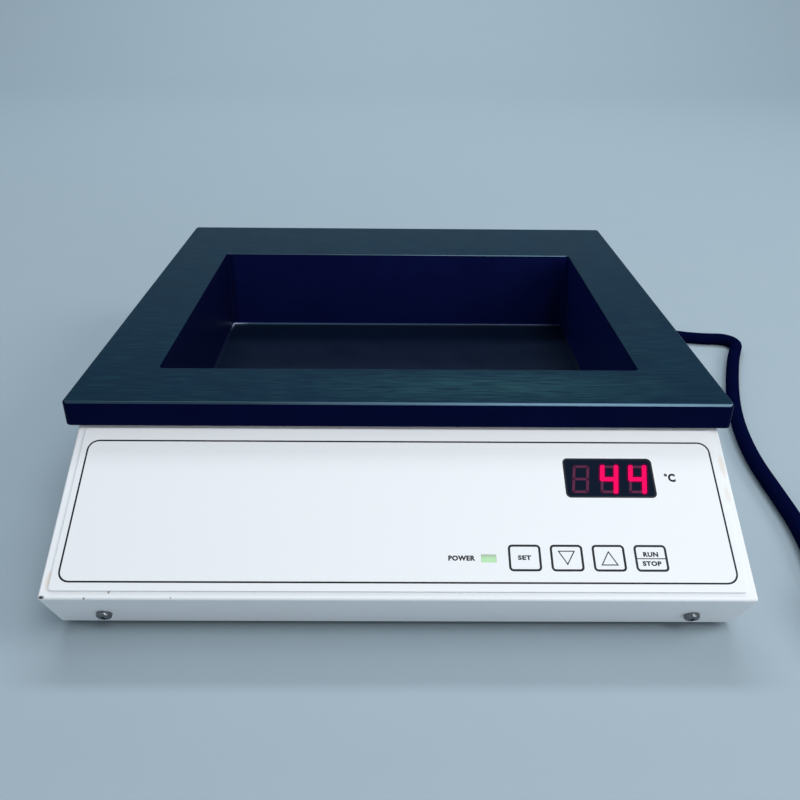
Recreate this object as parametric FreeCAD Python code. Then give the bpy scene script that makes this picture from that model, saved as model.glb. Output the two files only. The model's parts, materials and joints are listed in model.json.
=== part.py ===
"""Histology water bath: a black aluminium flotation tray on a white wedge-shaped cover with a keypad.

Units are millimetres. +Z is up and the front, with the keypad, faces -Y. The origin is on the
table, under the middle of the bath's own box (the mains lead not counted).
"""
import FreeCAD, Part
import math
import os

from FreeCAD import Placement, Rotation, Vector

# Bath tray: rim, skirt and well
RIM_WIDTH = 300.0
RIM_FRONT_Y = -105.0
RIM_REAR_Y = 171.4
RIM_TOP_Z = 82.5
RIM_SKIRT = 12.3
RIM_PLATE = 4.0
SKIRT_WALL = 3.0
RIM_CORNER = 2.5
RIM_TOP_ROUND = 1.4
RIM_LOWER_ROUND = 0.8
WELL_WIDTH = 231.0
WELL_FRONT_Y = -70.0
WELL_REAR_Y = 107.0
WELL_DEPTH = 51.0
WELL_WALL = 3.0
WELL_FLOOR = 4.0
WELL_CORNER = 2.2
WELL_LIP_ROUND = 0.7

# Cover: one folded and welded sheet, its side view given by four corners
SHEET = 1.2
BODY_WIDTH = 290.0
BODY_BOTTOM_Z = 4.2
BODY_REAR_Y = 166.4
NOSE_Y = -172.0
NOSE_Z = 28.9
PANEL_SLOPE = 30.0
BEND_ROUND = 1.0
SIDE_ROUND = 0.9
GASKET_THICK = 2.0
WELL_CLEARANCE = 3.0

# Base pan and feet
PAN_SHEET = 1.5
PAN_GAP = 0.15
PAN_HEIGHT = 16.0
FOOT_TOP_RADIUS = 9.5
FOOT_BASE_RADIUS = 8.0
FOOT_X = 118.0
FOOT_FRONT_Y = -126.0
FOOT_REAR_Y = 142.0
VENT_COUNT = 9
VENT_PITCH = 9.0
VENT_WIDTH = 3.0
VENT_LENGTH = 34.0

# Keypad film, printed on a membrane switch; x across, s up the slope from the nose
FILM_HALF_WIDTH = 141.0
FILM_LOW_S = 3.3
FILM_HIGH_S = 78.5
FILM_THICK = 0.3
MEMBRANE_THICK = 0.5
FILM_CORNER = 1.5
WINDOW_X = (72.4, 111.0)
WINDOW_S = (45.4, 63.7)
WINDOW_CORNER = 2.0
KEY_LEFT_X = 45.0
KEY_PITCH = 17.43
KEY_WIDTH = 13.55
KEY_S = (11.9, 23.5)
KEY_COUNT = 4
LED_X = (33.8, 39.9)
LED_S = (15.8, 19.0)
DIGIT_FIRST_X = 79.2
DIGIT_PITCH = 12.4
DIGIT_COUNT = 3

# Control board behind the panel
BOARD_X = (28.0, 134.0)
BOARD_S = (7.0, 68.0)
BOARD_THICK = 1.6
WINDOW_FLANGE = 1.2
DISPLAY_DEPTH = 8.0
BOARD_HOLE_INSET = 4.0

# Screws, studs and nuts
COVER_SCREW_X = 123.3
COVER_SCREW_RISE = 10.5
SCREW_HEAD_RADIUS = 3.3
SCREW_HEAD_HEIGHT = 2.2
SCREW_RADIUS = 2.0
SCREW_LENGTH = 8.0
HOLE_SLACK = 0.25
THREAD_SLACK = 0.01
REAR_SCREW_X = 130.0
REAR_SCREW_Z = 13.0
NUT_FLATS = 7.0
NUT_HEIGHT = 3.2
WASHER_RADIUS = 4.5
WASHER_THICK = 0.8
TRAY_STUD_X = 133.0
TRAY_STUD_Y = (-60.0, 140.0)
CLAMP_STUD_X = 111.0
CLAMP_STUD_Y = (-50.0, 87.0)

# Heating under the well, and the felt around it
MAT_THICK = 1.6
MAT_MARGIN = 12.5
CLAMP_THICK = 2.0
CLAMP_MARGIN = 2.5
FELT_THICK = 5.0
FELT_GAP = 0.2
FELT_TOP_Z = 74.0
FELT_FLOOR_TOP_Z = 17.9

PROBE_X = 18.0
PROBE_Z = 46.0
PROBE_RADIUS = 2.5
PROBE_LENGTH = 26.0

# Power board on the base pan
POWER_BOARD_X = (-130.0, -30.0)
POWER_BOARD_Y = (-150.0, -92.0)
POWER_BOARD_RISE = 7.0

TERMINAL_COUNT = 8
TERMINAL_PITCH = 5.08
TERMINAL_LEFT_X = -84.0
TERMINAL_Y = (-104.0, -94.0)
TERMINAL_MOUTH_RISE = 4.0
TERMINAL_MOUTH_DEPTH = 2.0
EARTH_STUD_AT = (132.0, 128.0)
EARTH_STUD_HEIGHT = 12.0

# Mains inlet with fuse drawer and rocker, in the rear wall
INLET_X = 100.0
INLET_BOTTOM_Z = 11.75
INLET_CUT_WIDTH = 27.5
INLET_CUT_HEIGHT = 47.5
INLET_SLACK = 0.15
BEZEL_OVERLAP = 1.75
BEZEL_THICK = 2.5
INLET_DEPTH = 31.0
SOCKET_WIDTH = 24.4
SOCKET_HEIGHT = 16.8
SOCKET_CHAMFER = 4.5
SOCKET_DEPTH = 16.0
SOCKET_Z = 23.1
DRAWER_WIDTH = 22.4
DRAWER_HEIGHT = 8.0
DRAWER_Z = 37.6
DRAWER_DEPTH = 26.0
ROCKER_OPENING = 22.0
ROCKER_HEIGHT = 12.5
ROCKER_Z = 50.0
ROCKER_RADIUS = 10.8
ROCKER_CROWN = 4.6
ROCKER_TRAVEL = 18.0
ROCKER_PIVOT_Y = 165.0
ROCKER_PIN_RADIUS = 1.5
ROCKER_PIN_SLACK = 0.05
ROCKER_SIDE_GAP = 0.2

# Mains lead: diameter, and the hand-laid points of its middle line from the connector to the coil
CORD_DIAMETER = 8.5
CONNECTOR_GRIP_END_Y = 198.0
CONNECTOR_END_Y = 222.0
CORD_ROUTE = [
    (INLET_X, CONNECTOR_END_Y, SOCKET_Z),
    (INLET_X, 244.0, SOCKET_Z),
    (102.2, 268.0, 14.5),
    (112.0, 290.5, 5.6),
    (132.5, 305.8, 4.25),
    (156.0, 307.4, 4.25),
    (177.5, 295.0, 4.25),
    (188.6, 273.5, 4.25),
    (190.8, 248.0, 4.25),
    (189.4, 222.0, 4.25),
    (188.6, 197.0, 4.25),
    (192.4, 174.6, 4.25),
    (204.0, 158.4, 4.25),
    (221.0, 151.0, 4.25),
    (236.0, 148.2, 4.25),
    (243.8, 148.0, 4.25),
    (248.9, 147.7, 4.25),
    (252.5, 146.0, 4.25),
    (255.2, 143.0, 4.25),
    (256.6, 139.2, 4.25),
    (256.4, 135.1, 4.25),
    (253.0, 127.7, 4.25),
    (246.2, 113.6, 4.25),
    (236.4, 89.2, 4.25),
    (226.6, 63.0, 4.25),
    (217.0, 33.5, 4.25),
    (209.6, 2.0, 4.25),
    (205.4, -29.0, 4.25),
    (204.8, -60.0, 4.25),
    (203.8, -91.0, 4.25),
    (198.6, -120.0, 4.25),
    (192.4, -146.0, 4.25),
    (190.3, -170.0, 4.25),
]
COIL_CENTRE = (242.0, -170.0)
COIL_MEAN_RADIUS = 47.5
TIE_HALF_WIDTH = 6.0
PLUG_WIDTH = 26.0
PLUG_STRAIN = 20.0
PLUG_BODY = 36.0
PLUG_START_Y = -136.0

X_AXIS = Vector(1, 0, 0)
Y_AXIS = Vector(0, 1, 0)
UP = Vector(0, 0, 1)

SLOPE_COS = math.cos(math.radians(PANEL_SLOPE))
SLOPE_SIN = math.sin(math.radians(PANEL_SLOPE))
STRIP_LENGTH = (NOSE_Z - BODY_BOTTOM_Z) / SLOPE_COS
SKIRT_BOTTOM_Z = RIM_TOP_Z - RIM_SKIRT
PLATE_UNDER_Z = RIM_TOP_Z - RIM_PLATE
FLANGE_Z = PLATE_UNDER_Z - GASKET_THICK
FLOOR_UNDER_Z = RIM_TOP_Z - WELL_DEPTH - WELL_FLOOR
MAT_UNDER_Z = FLOOR_UNDER_Z - MAT_THICK
CLAMP_UNDER_Z = MAT_UNDER_Z - CLAMP_THICK
PAN_TOP_Z = BODY_BOTTOM_Z + PAN_SHEET
POWER_BOARD_Z = PAN_TOP_Z + POWER_BOARD_RISE
BOARD_TOP_N = -SHEET - WINDOW_FLANGE - DISPLAY_DEPTH
BEZEL_Y = BODY_REAR_Y + BEZEL_THICK
INLET_TAB_LENGTH = 8.0
INLET_TAB_Y = BODY_REAR_Y - INLET_DEPTH - INLET_TAB_LENGTH
CORD_RADIUS = CORD_DIAMETER / 2
COIL_INNER = COIL_MEAN_RADIUS - CORD_DIAMETER
COIL_OUTER = COIL_MEAN_RADIUS + CORD_DIAMETER
COIL_TAIL_RADIUS = COIL_MEAN_RADIUS + CORD_RADIUS
COIL_HEIGHT = 2 * CORD_DIAMETER
PLUG_AXIS_Z = COIL_HEIGHT - CORD_RADIUS

# Frame of the sloping panel: x across, s up the slope, n out of its face
PANEL = Placement(Vector(0, NOSE_Y, NOSE_Z), Rotation(X_AXIS, PANEL_SLOPE))
# Frame of the front strip: x across, s up from its lower edge, n out of its face
STRIP_FOOT = Vector(0, NOSE_Y + STRIP_LENGTH * SLOPE_SIN, NOSE_Z - STRIP_LENGTH * SLOPE_COS)
STRIP = Placement(STRIP_FOOT, Rotation(X_AXIS, 90.0 + PANEL_SLOPE))


def box(low, high):
    """Box from its lowest to its highest corner."""
    size = [b - a for a, b in zip(low, high)]
    return Part.makeBox(*size, Vector(*low))


def drum(centre, radius, length, axis=UP):
    """Cylinder from the middle of its first face."""
    return Part.makeCylinder(radius, length, Vector(*centre), axis)


def placed(shape, placement):
    """Copy of a shape carried into another frame."""
    copy = shape.copy()
    copy.Placement = placement.multiply(copy.Placement)
    return copy


def moved(shape, offset):
    """Copy of a shape shifted by an offset."""
    return placed(shape, Placement(Vector(*offset), Rotation()))


def join(*shapes):
    """One solid out of shapes that meet."""
    return shapes[0].fuse(list(shapes[1:])).removeSplitter()


def group(shapes):
    """Several like solids kept in one node."""
    return Part.makeCompound(list(shapes))


def middle(edge):
    """Middle point of an edge."""
    return edge.valueAt((edge.FirstParameter + edge.LastParameter) / 2)


def runs_along(edge, axis):
    """True for a straight edge parallel to an axis."""
    if not isinstance(edge.Curve, Part.Line):
        return False
    return edge.tangentAt(edge.FirstParameter).cross(axis).Length < 1e-6


def round_edges(shape, radius, chosen):
    """Round the edges that a test picks."""
    return shape.makeFillet(radius, [edge for edge in shape.Edges if chosen(edge)])


def at_height(z):
    """Test for edges that lie level at a height."""
    return lambda edge: all(abs(v.Z - z) < 1e-6 for v in edge.Vertexes)


def rounded_block(low, high, corner):
    """Box with its four upright edges rounded."""
    return round_edges(box(low, high), corner, lambda edge: runs_along(edge, UP))


def prism(outline, half_width):
    """Solid of a side view, given as (y, z) corners, across the width."""
    points = [Vector(-half_width, y, z) for y, z in outline]
    face = Part.Face(Part.makePolygon(points + points[:1]))
    return face.extrude(Vector(2 * half_width, 0, 0))


def side_view(inset):
    """Corners of the body's side view, drawn in by an inset and left open below."""
    slope = SLOPE_SIN / SLOPE_COS
    foot_z = 0.0 if inset else BODY_BOTTOM_Z
    foot_y = STRIP_FOOT.y + inset / SLOPE_COS + (STRIP_FOOT.z - foot_z) * slope
    nose_y = NOSE_Y + inset * (SLOPE_COS + SLOPE_SIN)
    nose_z = NOSE_Z + inset * (SLOPE_SIN - SLOPE_COS)
    top_z = FLANGE_Z - inset
    knee_y = nose_y + (top_z - nose_z) / slope
    rear_y = BODY_REAR_Y - inset
    return [(foot_y, foot_z), (nose_y, nose_z), (knee_y, top_z), (rear_y, top_z), (rear_y, foot_z)]


def rounded_rectangle(width, height, corner, at):
    """Closed wire of a rectangle with round corners, facing Y."""
    slab = rounded_block((-width / 2, -height / 2, 0), (width / 2, height / 2, 1), corner)
    base = [face for face in slab.Faces if abs(face.CenterOfMass.z) < 1e-6][0]
    turned = placed(base.OuterWire, Placement(Vector(*at), Rotation(X_AXIS, 90)))
    return turned


def unit(vector):
    """Copy of a vector with length one."""
    return Vector(vector).normalize()


def rounded_path(points, share=0.45):
    """Straight runs joined by tangent arcs, and the arcs' radii, each as large as its runs allow."""
    corners = [Vector(*point) for point in points]
    edges, radii = [], []
    start = corners[0]
    for before, corner, after in zip(corners, corners[1:], corners[2:]):
        back, ahead = before - corner, after - corner
        reach = share * min(back.Length, ahead.Length)
        half_turn = (math.pi - back.getAngle(ahead)) / 2
        radius = reach / math.tan(half_turn)
        entry = corner + unit(back) * reach
        leave = corner + unit(ahead) * reach
        crown = corner + unit(unit(back) + unit(ahead)) * (math.hypot(radius, reach) - radius)
        edges.append(Part.LineSegment(start, entry).toShape())
        edges.append(Part.Arc(entry, crown, leave).toShape())
        radii.append(radius)
        start = leave
    edges.append(Part.LineSegment(start, corners[-1]).toShape())
    return Part.Wire(edges), radii


def tube(points, diameter):
    """Round lead along a route of runs and arcs."""
    path, _ = rounded_path(points)
    heading = Vector(*points[1]) - Vector(*points[0])
    ring = Part.Wire(Part.makeCircle(diameter / 2, Vector(*points[0]), heading))
    return path.makePipeShell([ring], True, False)


def pan_head_screw(length=SCREW_LENGTH, radius=SCREW_RADIUS, head=SCREW_HEAD_RADIUS,
                   rise=SCREW_HEAD_HEIGHT):
    """Cross-recessed pan-head screw, head up on the origin's plane, shank going down."""
    dome = round_edges(drum((0, 0, 0), head, rise), rise * 0.55, at_height(rise))
    recess_long, recess_wide, recess_deep = head * 1.1, head * 0.26, rise * 0.6
    arms = [box((-a / 2, -b / 2, rise - recess_deep), (a / 2, b / 2, rise + 1))
            for a, b in ((recess_long, recess_wide), (recess_wide, recess_long))]
    return join(dome.cut(arms), drum((0, 0, -length), radius, length))


def hex_nut(radius=SCREW_RADIUS, flats=NUT_FLATS, height=NUT_HEIGHT):
    """Hexagon nut on the origin's plane with its bore."""
    across = flats / math.sqrt(3)
    points = [Vector(across * math.cos(math.radians(60 * i)), across * math.sin(math.radians(60 * i)), 0)
              for i in range(6)]
    face = Part.Face(Part.makePolygon(points + points[:1]))
    block = face.extrude(Vector(0, 0, height))
    cone = Part.makeCone(across + height, across * 0.86, height + across * 0.14, Vector(0, 0, 0))
    return block.common(cone).cut(drum((0, 0, -1), radius + THREAD_SLACK, height + 2))


def nut_and_washer():
    """Nut under a washer, hanging below the origin's plane."""
    washer = drum((0, 0, -WASHER_THICK), WASHER_RADIUS, WASHER_THICK)
    nut = placed(hex_nut(), Placement(Vector(0, 0, -WASHER_THICK), Rotation(X_AXIS, 180)))
    bore = drum((0, 0, -NUT_HEIGHT - 2), SCREW_RADIUS + THREAD_SLACK, NUT_HEIGHT + 3)
    return join(washer, nut).cut(bore)


def four_places(half_x, ys):
    """Left and right places at two depths."""
    return [(side * half_x, y) for y in ys for side in (-1, 1)]


def save(name, shape):
    """Write one node and report its volume and state."""
    solids = len(shape.Solids)
    print(f"{name}: {solids} solid(s), {shape.Volume / 1000:.2f} cm3, valid {shape.isValid()}")
    shape.exportStep(f"parts/{name}.step")


# Bath tray and what seats it
def bath_tray():
    """Cast tray: flat rim with a skirt, and the well hanging in it."""
    half = RIM_WIDTH / 2
    well_half = WELL_WIDTH / 2
    slab = rounded_block((-half, RIM_FRONT_Y, SKIRT_BOTTOM_Z), (half, RIM_REAR_Y, RIM_TOP_Z), RIM_CORNER)
    slab = round_edges(slab, RIM_TOP_ROUND, at_height(RIM_TOP_Z))
    slab = round_edges(slab, RIM_LOWER_ROUND, at_height(SKIRT_BOTTOM_Z))
    hollow = rounded_block(
        (-half + SKIRT_WALL, RIM_FRONT_Y + SKIRT_WALL, SKIRT_BOTTOM_Z - 1),
        (half - SKIRT_WALL, RIM_REAR_Y - SKIRT_WALL, PLATE_UNDER_Z), RIM_CORNER / 2)
    shell = rounded_block(
        (-well_half - WELL_WALL, WELL_FRONT_Y - WELL_WALL, FLOOR_UNDER_Z),
        (well_half + WELL_WALL, WELL_REAR_Y + WELL_WALL, RIM_TOP_Z - RIM_PLATE / 2), WELL_CORNER + WELL_WALL)
    shell = round_edges(shell, WELL_CORNER + WELL_WALL / 2, at_height(FLOOR_UNDER_Z))
    pocket = rounded_block(
        (-well_half, WELL_FRONT_Y, RIM_TOP_Z - WELL_DEPTH),
        (well_half, WELL_REAR_Y, RIM_TOP_Z + 1), WELL_CORNER)
    pocket = round_edges(pocket, WELL_CORNER * 0.95, at_height(RIM_TOP_Z - WELL_DEPTH))
    tray = join(slab.cut(hollow), shell).cut(pocket)
    lip = [edge for edge in tray.Edges if at_height(RIM_TOP_Z)(edge)
           and abs(middle(edge).x) < well_half + 1 and WELL_FRONT_Y - 1 < middle(edge).y < WELL_REAR_Y + 1]
    return tray.makeFillet(WELL_LIP_ROUND, lip)


def rim_gasket():
    """Silicone ring between the rim and the cover's flange."""
    inset = 2.5
    outer = rounded_block(
        (-BODY_WIDTH / 2 + inset, -87.0, FLANGE_Z),
        (BODY_WIDTH / 2 - inset, BODY_REAR_Y - inset, PLATE_UNDER_Z), 4)
    gap = WELL_WALL + WELL_CLEARANCE
    inner = rounded_block(
        (-WELL_WIDTH / 2 - gap, WELL_FRONT_Y - gap, FLANGE_Z - 1),
        (WELL_WIDTH / 2 + gap, WELL_REAR_Y + gap, PLATE_UNDER_Z + 1), 6)
    holes = [drum((x, y, FLANGE_Z - 1), SCREW_RADIUS + HOLE_SLACK, 4)
             for x, y in four_places(TRAY_STUD_X, TRAY_STUD_Y)]
    return outer.cut([inner] + holes)


def tray_studs():
    """Studs that hold the tray down through the cover's flange."""
    length = 18.0
    return group(drum((x, y, PLATE_UNDER_Z - length), SCREW_RADIUS, length)
                 for x, y in four_places(TRAY_STUD_X, TRAY_STUD_Y))


def tray_nuts():
    """Nuts and washers under the cover's flange."""
    return group(moved(nut_and_washer(), (x, y, FLANGE_Z - SHEET))
                 for x, y in four_places(TRAY_STUD_X, TRAY_STUD_Y))


# Cover and base
def cover_housing():
    """Folded cover with its corners welded: strip, sloping panel, top flange, sides and rear."""
    half = BODY_WIDTH / 2
    outer = prism(side_view(0.0), half)
    outer = round_edges(outer, BEND_ROUND,
                        lambda e: runs_along(e, X_AXIS) and middle(e).z > BODY_BOTTOM_Z + 1)
    outer = round_edges(outer, SIDE_ROUND, lambda e: abs(abs(middle(e).x) - half) < 1e-3
                        and middle(e).z > BODY_BOTTOM_Z + 1)
    inner = prism(side_view(SHEET), half - SHEET)
    shell = outer.cut(inner)
    gap = WELL_WALL + WELL_CLEARANCE
    well_hole = rounded_block(
        (-WELL_WIDTH / 2 - gap, WELL_FRONT_Y - gap, FLANGE_Z - 3),
        (WELL_WIDTH / 2 + gap, WELL_REAR_Y + gap, FLANGE_Z + 3), 6)
    stud_holes = [drum((x, y, FLANGE_Z - 3), SCREW_RADIUS + HOLE_SLACK, 6)
                  for x, y in four_places(TRAY_STUD_X, TRAY_STUD_Y)]
    panel_holes = [placed(hole, PANEL) for hole in (
        window_block(0.0, -3.0, 3.0), led_block(HOLE_SLACK, -3.0, 3.0), tail_slot())]
    hole = SCREW_RADIUS + HOLE_SLACK
    strip_holes = [placed(drum((side * COVER_SCREW_X, COVER_SCREW_RISE, -3), hole, 6), STRIP)
                   for side in (-1, 1)]
    rear_holes = [drum((side * REAR_SCREW_X, BODY_REAR_Y - 3, REAR_SCREW_Z), hole, 6, Y_AXIS)
                  for side in (-1, 1)]
    inlet_hole = box(
        (INLET_X - INLET_CUT_WIDTH / 2, BODY_REAR_Y - 3, INLET_BOTTOM_Z),
        (INLET_X + INLET_CUT_WIDTH / 2, BODY_REAR_Y + 3, INLET_BOTTOM_Z + INLET_CUT_HEIGHT))
    return shell.cut([well_hole, inlet_hole] + stud_holes + panel_holes + strip_holes + rear_holes)


def base_plate():
    """Zinc-plated pan that closes the cover from below, with vent slots and turned-up flanges."""
    inset = SHEET + PAN_GAP
    half = BODY_WIDTH / 2 - inset
    solid = prism(side_view(inset), half)
    hollow = prism(side_view(inset + PAN_SHEET), half - PAN_SHEET)
    above_floor = box((-half, NOSE_Y, PAN_TOP_Z), (half, BODY_REAR_Y, FLANGE_Z))
    span = box((-half, NOSE_Y, BODY_BOTTOM_Z), (half, BODY_REAR_Y, BODY_BOTTOM_Z + PAN_HEIGHT))
    pan = solid.common(span).cut(hollow.common(above_floor))
    pan = round_edges(pan, PAN_SHEET, lambda e: runs_along(e, X_AXIS) and at_height(BODY_BOTTOM_Z)(e)
                      and middle(e).y > 0)
    slots = []
    for row_y, mid_x in ((-140.0, -66.0), (-140.0, 66.0), (119.0, -40.0)):
        for i in range(VENT_COUNT):
            x = mid_x + (i - (VENT_COUNT - 1) / 2) * VENT_PITCH
            low, high = (x - VENT_WIDTH / 2, row_y, 0), (x + VENT_WIDTH / 2, row_y + VENT_LENGTH, 9)
            slots.append(rounded_block(low, high, VENT_WIDTH / 2.1))
    holes = [drum((x, y, 0), SCREW_RADIUS + THREAD_SLACK, 9) for x, y in foot_places()]
    hole = SCREW_RADIUS + THREAD_SLACK
    strip_holes = [placed(drum((side * COVER_SCREW_X, COVER_SCREW_RISE, -6), hole, 9), STRIP)
                   for side in (-1, 1)]
    rear_holes = [drum((side * REAR_SCREW_X, BODY_REAR_Y - 6, REAR_SCREW_Z), hole, 8, Y_AXIS)
                  for side in (-1, 1)]
    inlet_notch = box(
        (INLET_X - INLET_CUT_WIDTH / 2 - 3, BODY_REAR_Y - 6, PAN_TOP_Z + 3),
        (INLET_X + INLET_CUT_WIDTH / 2 + 3, BODY_REAR_Y, 30))
    return pan.cut(slots + holes + strip_holes + rear_holes + [inlet_notch])


def foot_places():
    """Middles of the four feet."""
    return four_places(FOOT_X, (FOOT_FRONT_Y, FOOT_REAR_Y))


def foot():
    """Tapered rubber foot with a counterbore for its screw."""
    cone = Part.makeCone(FOOT_BASE_RADIUS, FOOT_TOP_RADIUS, BODY_BOTTOM_Z)
    cone = round_edges(cone, 0.6, at_height(0))
    return cone.cut([drum((0, 0, -1), 4.2, 3.0), drum((0, 0, -1), SCREW_RADIUS + THREAD_SLACK, 9)])


def foot_screws():
    """Screws up through the feet."""
    screw = pan_head_screw(length=7.5, head=3.4, rise=1.6)
    turned = placed(screw, Placement(Vector(0, 0, 2.0), Rotation(X_AXIS, 180)))
    return group(moved(turned, (x, y, 0)) for x, y in foot_places())


def foot_nuts():
    """Nuts on the foot screws, on the pan."""
    return group(moved(hex_nut(), (x, y, PAN_TOP_Z)) for x, y in foot_places())


def front_screw(side):
    """Cover screw in the front strip."""
    return placed(moved(pan_head_screw(), (side * COVER_SCREW_X, COVER_SCREW_RISE, 0)), STRIP)


def rear_screws():
    """Cover screws low in the rear wall."""
    outward = Rotation(X_AXIS, -90)
    places = [Vector(side * REAR_SCREW_X, BODY_REAR_Y, REAR_SCREW_Z) for side in (-1, 1)]
    return group(placed(pan_head_screw(), Placement(place, outward)) for place in places)


# Keypad and display, drawn flat in the panel's frame
def window_block(shrink, low_n, high_n):
    """Rounded block of the display window's outline."""
    return rounded_block(
        (WINDOW_X[0] + shrink, WINDOW_S[0] + shrink, low_n),
        (WINDOW_X[1] - shrink, WINDOW_S[1] - shrink, high_n), WINDOW_CORNER)


def led_block(grow, low_n, high_n):
    """Block of the power light's outline."""
    return box((LED_X[0] - grow, LED_S[0] - grow, low_n), (LED_X[1] + grow, LED_S[1] + grow, high_n))


def tail_slot():
    """Slot in the panel for the keypad's tail."""
    return box((50.0, 33.0, -3.0), (66.0, 35.0, 3.0))


def key_middles():
    """Middles of the four keys."""
    s = (KEY_S[0] + KEY_S[1]) / 2
    return [(KEY_LEFT_X + KEY_WIDTH / 2 + i * KEY_PITCH, s) for i in range(KEY_COUNT)]


def film_sheet(low_n, high_n):
    """Sheet of the keypad's outline with its window and light cut out."""
    sheet = rounded_block(
        (-FILM_HALF_WIDTH, FILM_LOW_S, low_n), (FILM_HALF_WIDTH, FILM_HIGH_S, high_n), FILM_CORNER)
    return sheet.cut([window_block(0.0, -3.0, 3.0), led_block(0.1, -3.0, 3.0)])


def control_overlay():
    """Printed polyester film, the face of the keypad."""
    return placed(film_sheet(MEMBRANE_THICK, MEMBRANE_THICK + FILM_THICK), PANEL)


def membrane_switch():
    """Circuit layer under the film, with a pocket per key and a tail into the housing."""
    pockets = [drum((x, s, -1), 5.0, 3.0) for x, s in key_middles()]
    layer = film_sheet(0.0, MEMBRANE_THICK).cut(pockets)
    tail = box((51.0, 33.8, BOARD_TOP_N + 1.5), (65.0, 34.2, MEMBRANE_THICK))
    return placed(join(layer, tail), PANEL)


def key_domes():
    """Snap domes, one under each key."""
    radius, rise, bend = 4.5, 0.4, 25.5
    cap = Part.makeSphere(bend, Vector(0, 0, rise - bend)).common(drum((0, 0, 0), radius, rise))
    return placed(group(moved(cap, (x, s, 0)) for x, s in key_middles()), PANEL)


def display_window():
    """Tinted window, stepped so that its flange sits behind the panel."""
    face = window_block(0.15, -SHEET, MEMBRANE_THICK + FILM_THICK)
    flange = window_block(-3.0, -SHEET - WINDOW_FLANGE, -SHEET)
    return placed(join(face, flange), PANEL)


def display_module():
    """Three-digit block with a shallow recess round each digit."""
    low = (WINDOW_X[0] + 0.2, WINDOW_S[0] - 0.4, BOARD_TOP_N)
    high = (WINDOW_X[1] - 0.2, WINDOW_S[1] + 0.4, BOARD_TOP_N + DISPLAY_DEPTH)
    block = box(low, high)
    mid_s = (WINDOW_S[0] + WINDOW_S[1]) / 2
    faces = []
    for i in range(DIGIT_COUNT):
        x = DIGIT_FIRST_X + i * DIGIT_PITCH
        faces.append(box((x - 5.6, mid_s - 8.4, high[2] - 0.4), (x + 5.6, mid_s + 8.4, high[2] + 1)))
    return placed(block.cut(faces), PANEL)


def power_led():
    """Bar-shaped power light, its lens flush with the film."""
    lens = led_block(0.0, BOARD_TOP_N + 3.0, MEMBRANE_THICK + FILM_THICK)
    foot_block = led_block(0.8, BOARD_TOP_N, BOARD_TOP_N + 3.0)
    return placed(join(lens, foot_block), PANEL)


def board_hole_places():
    """Middles of the control board's fixing holes."""
    xs = (BOARD_X[0] + BOARD_HOLE_INSET, BOARD_X[1] - BOARD_HOLE_INSET)
    ss = (BOARD_S[0] + BOARD_HOLE_INSET, BOARD_S[1] - BOARD_HOLE_INSET)
    return [(x, s) for x in xs for s in ss]


def control_board():
    """Board parallel to the panel, with its controller and driver chips soldered below."""
    sheet = rounded_block(
        (BOARD_X[0], BOARD_S[0], BOARD_TOP_N - BOARD_THICK), (BOARD_X[1], BOARD_S[1], BOARD_TOP_N), 2)
    sheet = sheet.cut([drum((x, s, BOARD_TOP_N - 3), 1.5 + THREAD_SLACK, 6) for x, s in board_hole_places()])
    under = BOARD_TOP_N - BOARD_THICK
    chips = [box((x, s, under - rise), (x + wide, s + deep, under)) for x, s, wide, deep, rise in (
        (52.0, 40.0, 12.0, 12.0, 1.6), (84.0, 24.0, 18.0, 7.5, 2.4), (108.0, 24.0, 10.0, 4.0, 1.6))]
    return placed(join(sheet, *chips), PANEL)


def tail_connector():
    """Connector on the board that grips the keypad's tail."""
    body = box((48.0, 31.5, BOARD_TOP_N), (68.0, 36.5, BOARD_TOP_N + 5.0))
    slit = box((51.0, 33.8, BOARD_TOP_N + 1.5), (65.0, 34.2, BOARD_TOP_N + 6.0))
    return placed(body.cut(slit), PANEL)


def board_standoffs():
    """Spacers from the panel to the control board."""
    length = -SHEET - BOARD_TOP_N
    posts = [drum((x, s, BOARD_TOP_N), 2.8, length).cut(drum((x, s, BOARD_TOP_N), 1.5 + THREAD_SLACK, 6.5))
             for x, s in board_hole_places()]
    return placed(group(posts), PANEL)


def board_screws():
    """Screws that hold the board on its spacers."""
    screw = pan_head_screw(length=6.0, radius=1.5, head=2.7, rise=1.8)
    under = BOARD_TOP_N - BOARD_THICK
    turned = placed(screw, Placement(Vector(0, 0, under), Rotation(X_AXIS, 180)))
    return placed(group(moved(turned, (x, s, 0)) for x, s in board_hole_places()), PANEL)


# Heating and its control, under and in front of the well
def well_outline(margin):
    """Low and high corners (x, y) of the well's outside, drawn in by a margin."""
    low = (-WELL_WIDTH / 2 - WELL_WALL + margin, WELL_FRONT_Y - WELL_WALL + margin)
    high = (WELL_WIDTH / 2 + WELL_WALL - margin, WELL_REAR_Y + WELL_WALL - margin)
    return low, high


def heater_mat():
    """Silicone heating mat pressed on the well's floor."""
    low, high = well_outline(MAT_MARGIN)
    return rounded_block((*low, MAT_UNDER_Z), (*high, FLOOR_UNDER_Z), 6)


def clamp_places():
    """Middles of the clamp plate's studs."""
    return four_places(CLAMP_STUD_X, CLAMP_STUD_Y)


def heater_clamp_plate():
    """Aluminium plate that presses the mat upwards, stiffened by two pressed ribs."""
    low, high = well_outline(CLAMP_MARGIN)
    plate = rounded_block((*low, CLAMP_UNDER_Z), (*high, MAT_UNDER_Z), 5)
    holes = [drum((x, y, CLAMP_UNDER_Z - 1), SCREW_RADIUS + HOLE_SLACK, 4) for x, y in clamp_places()]
    rib_low, rib_high = (low[1] + 20, CLAMP_UNDER_Z - 1.2), (high[1] - 20, CLAMP_UNDER_Z)
    ribs = [rounded_block((x - 5, *rib_low), (x + 5, *rib_high), 4.9) for x in (-40.0, 40.0)]
    return join(plate, *ribs).cut(holes)


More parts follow.
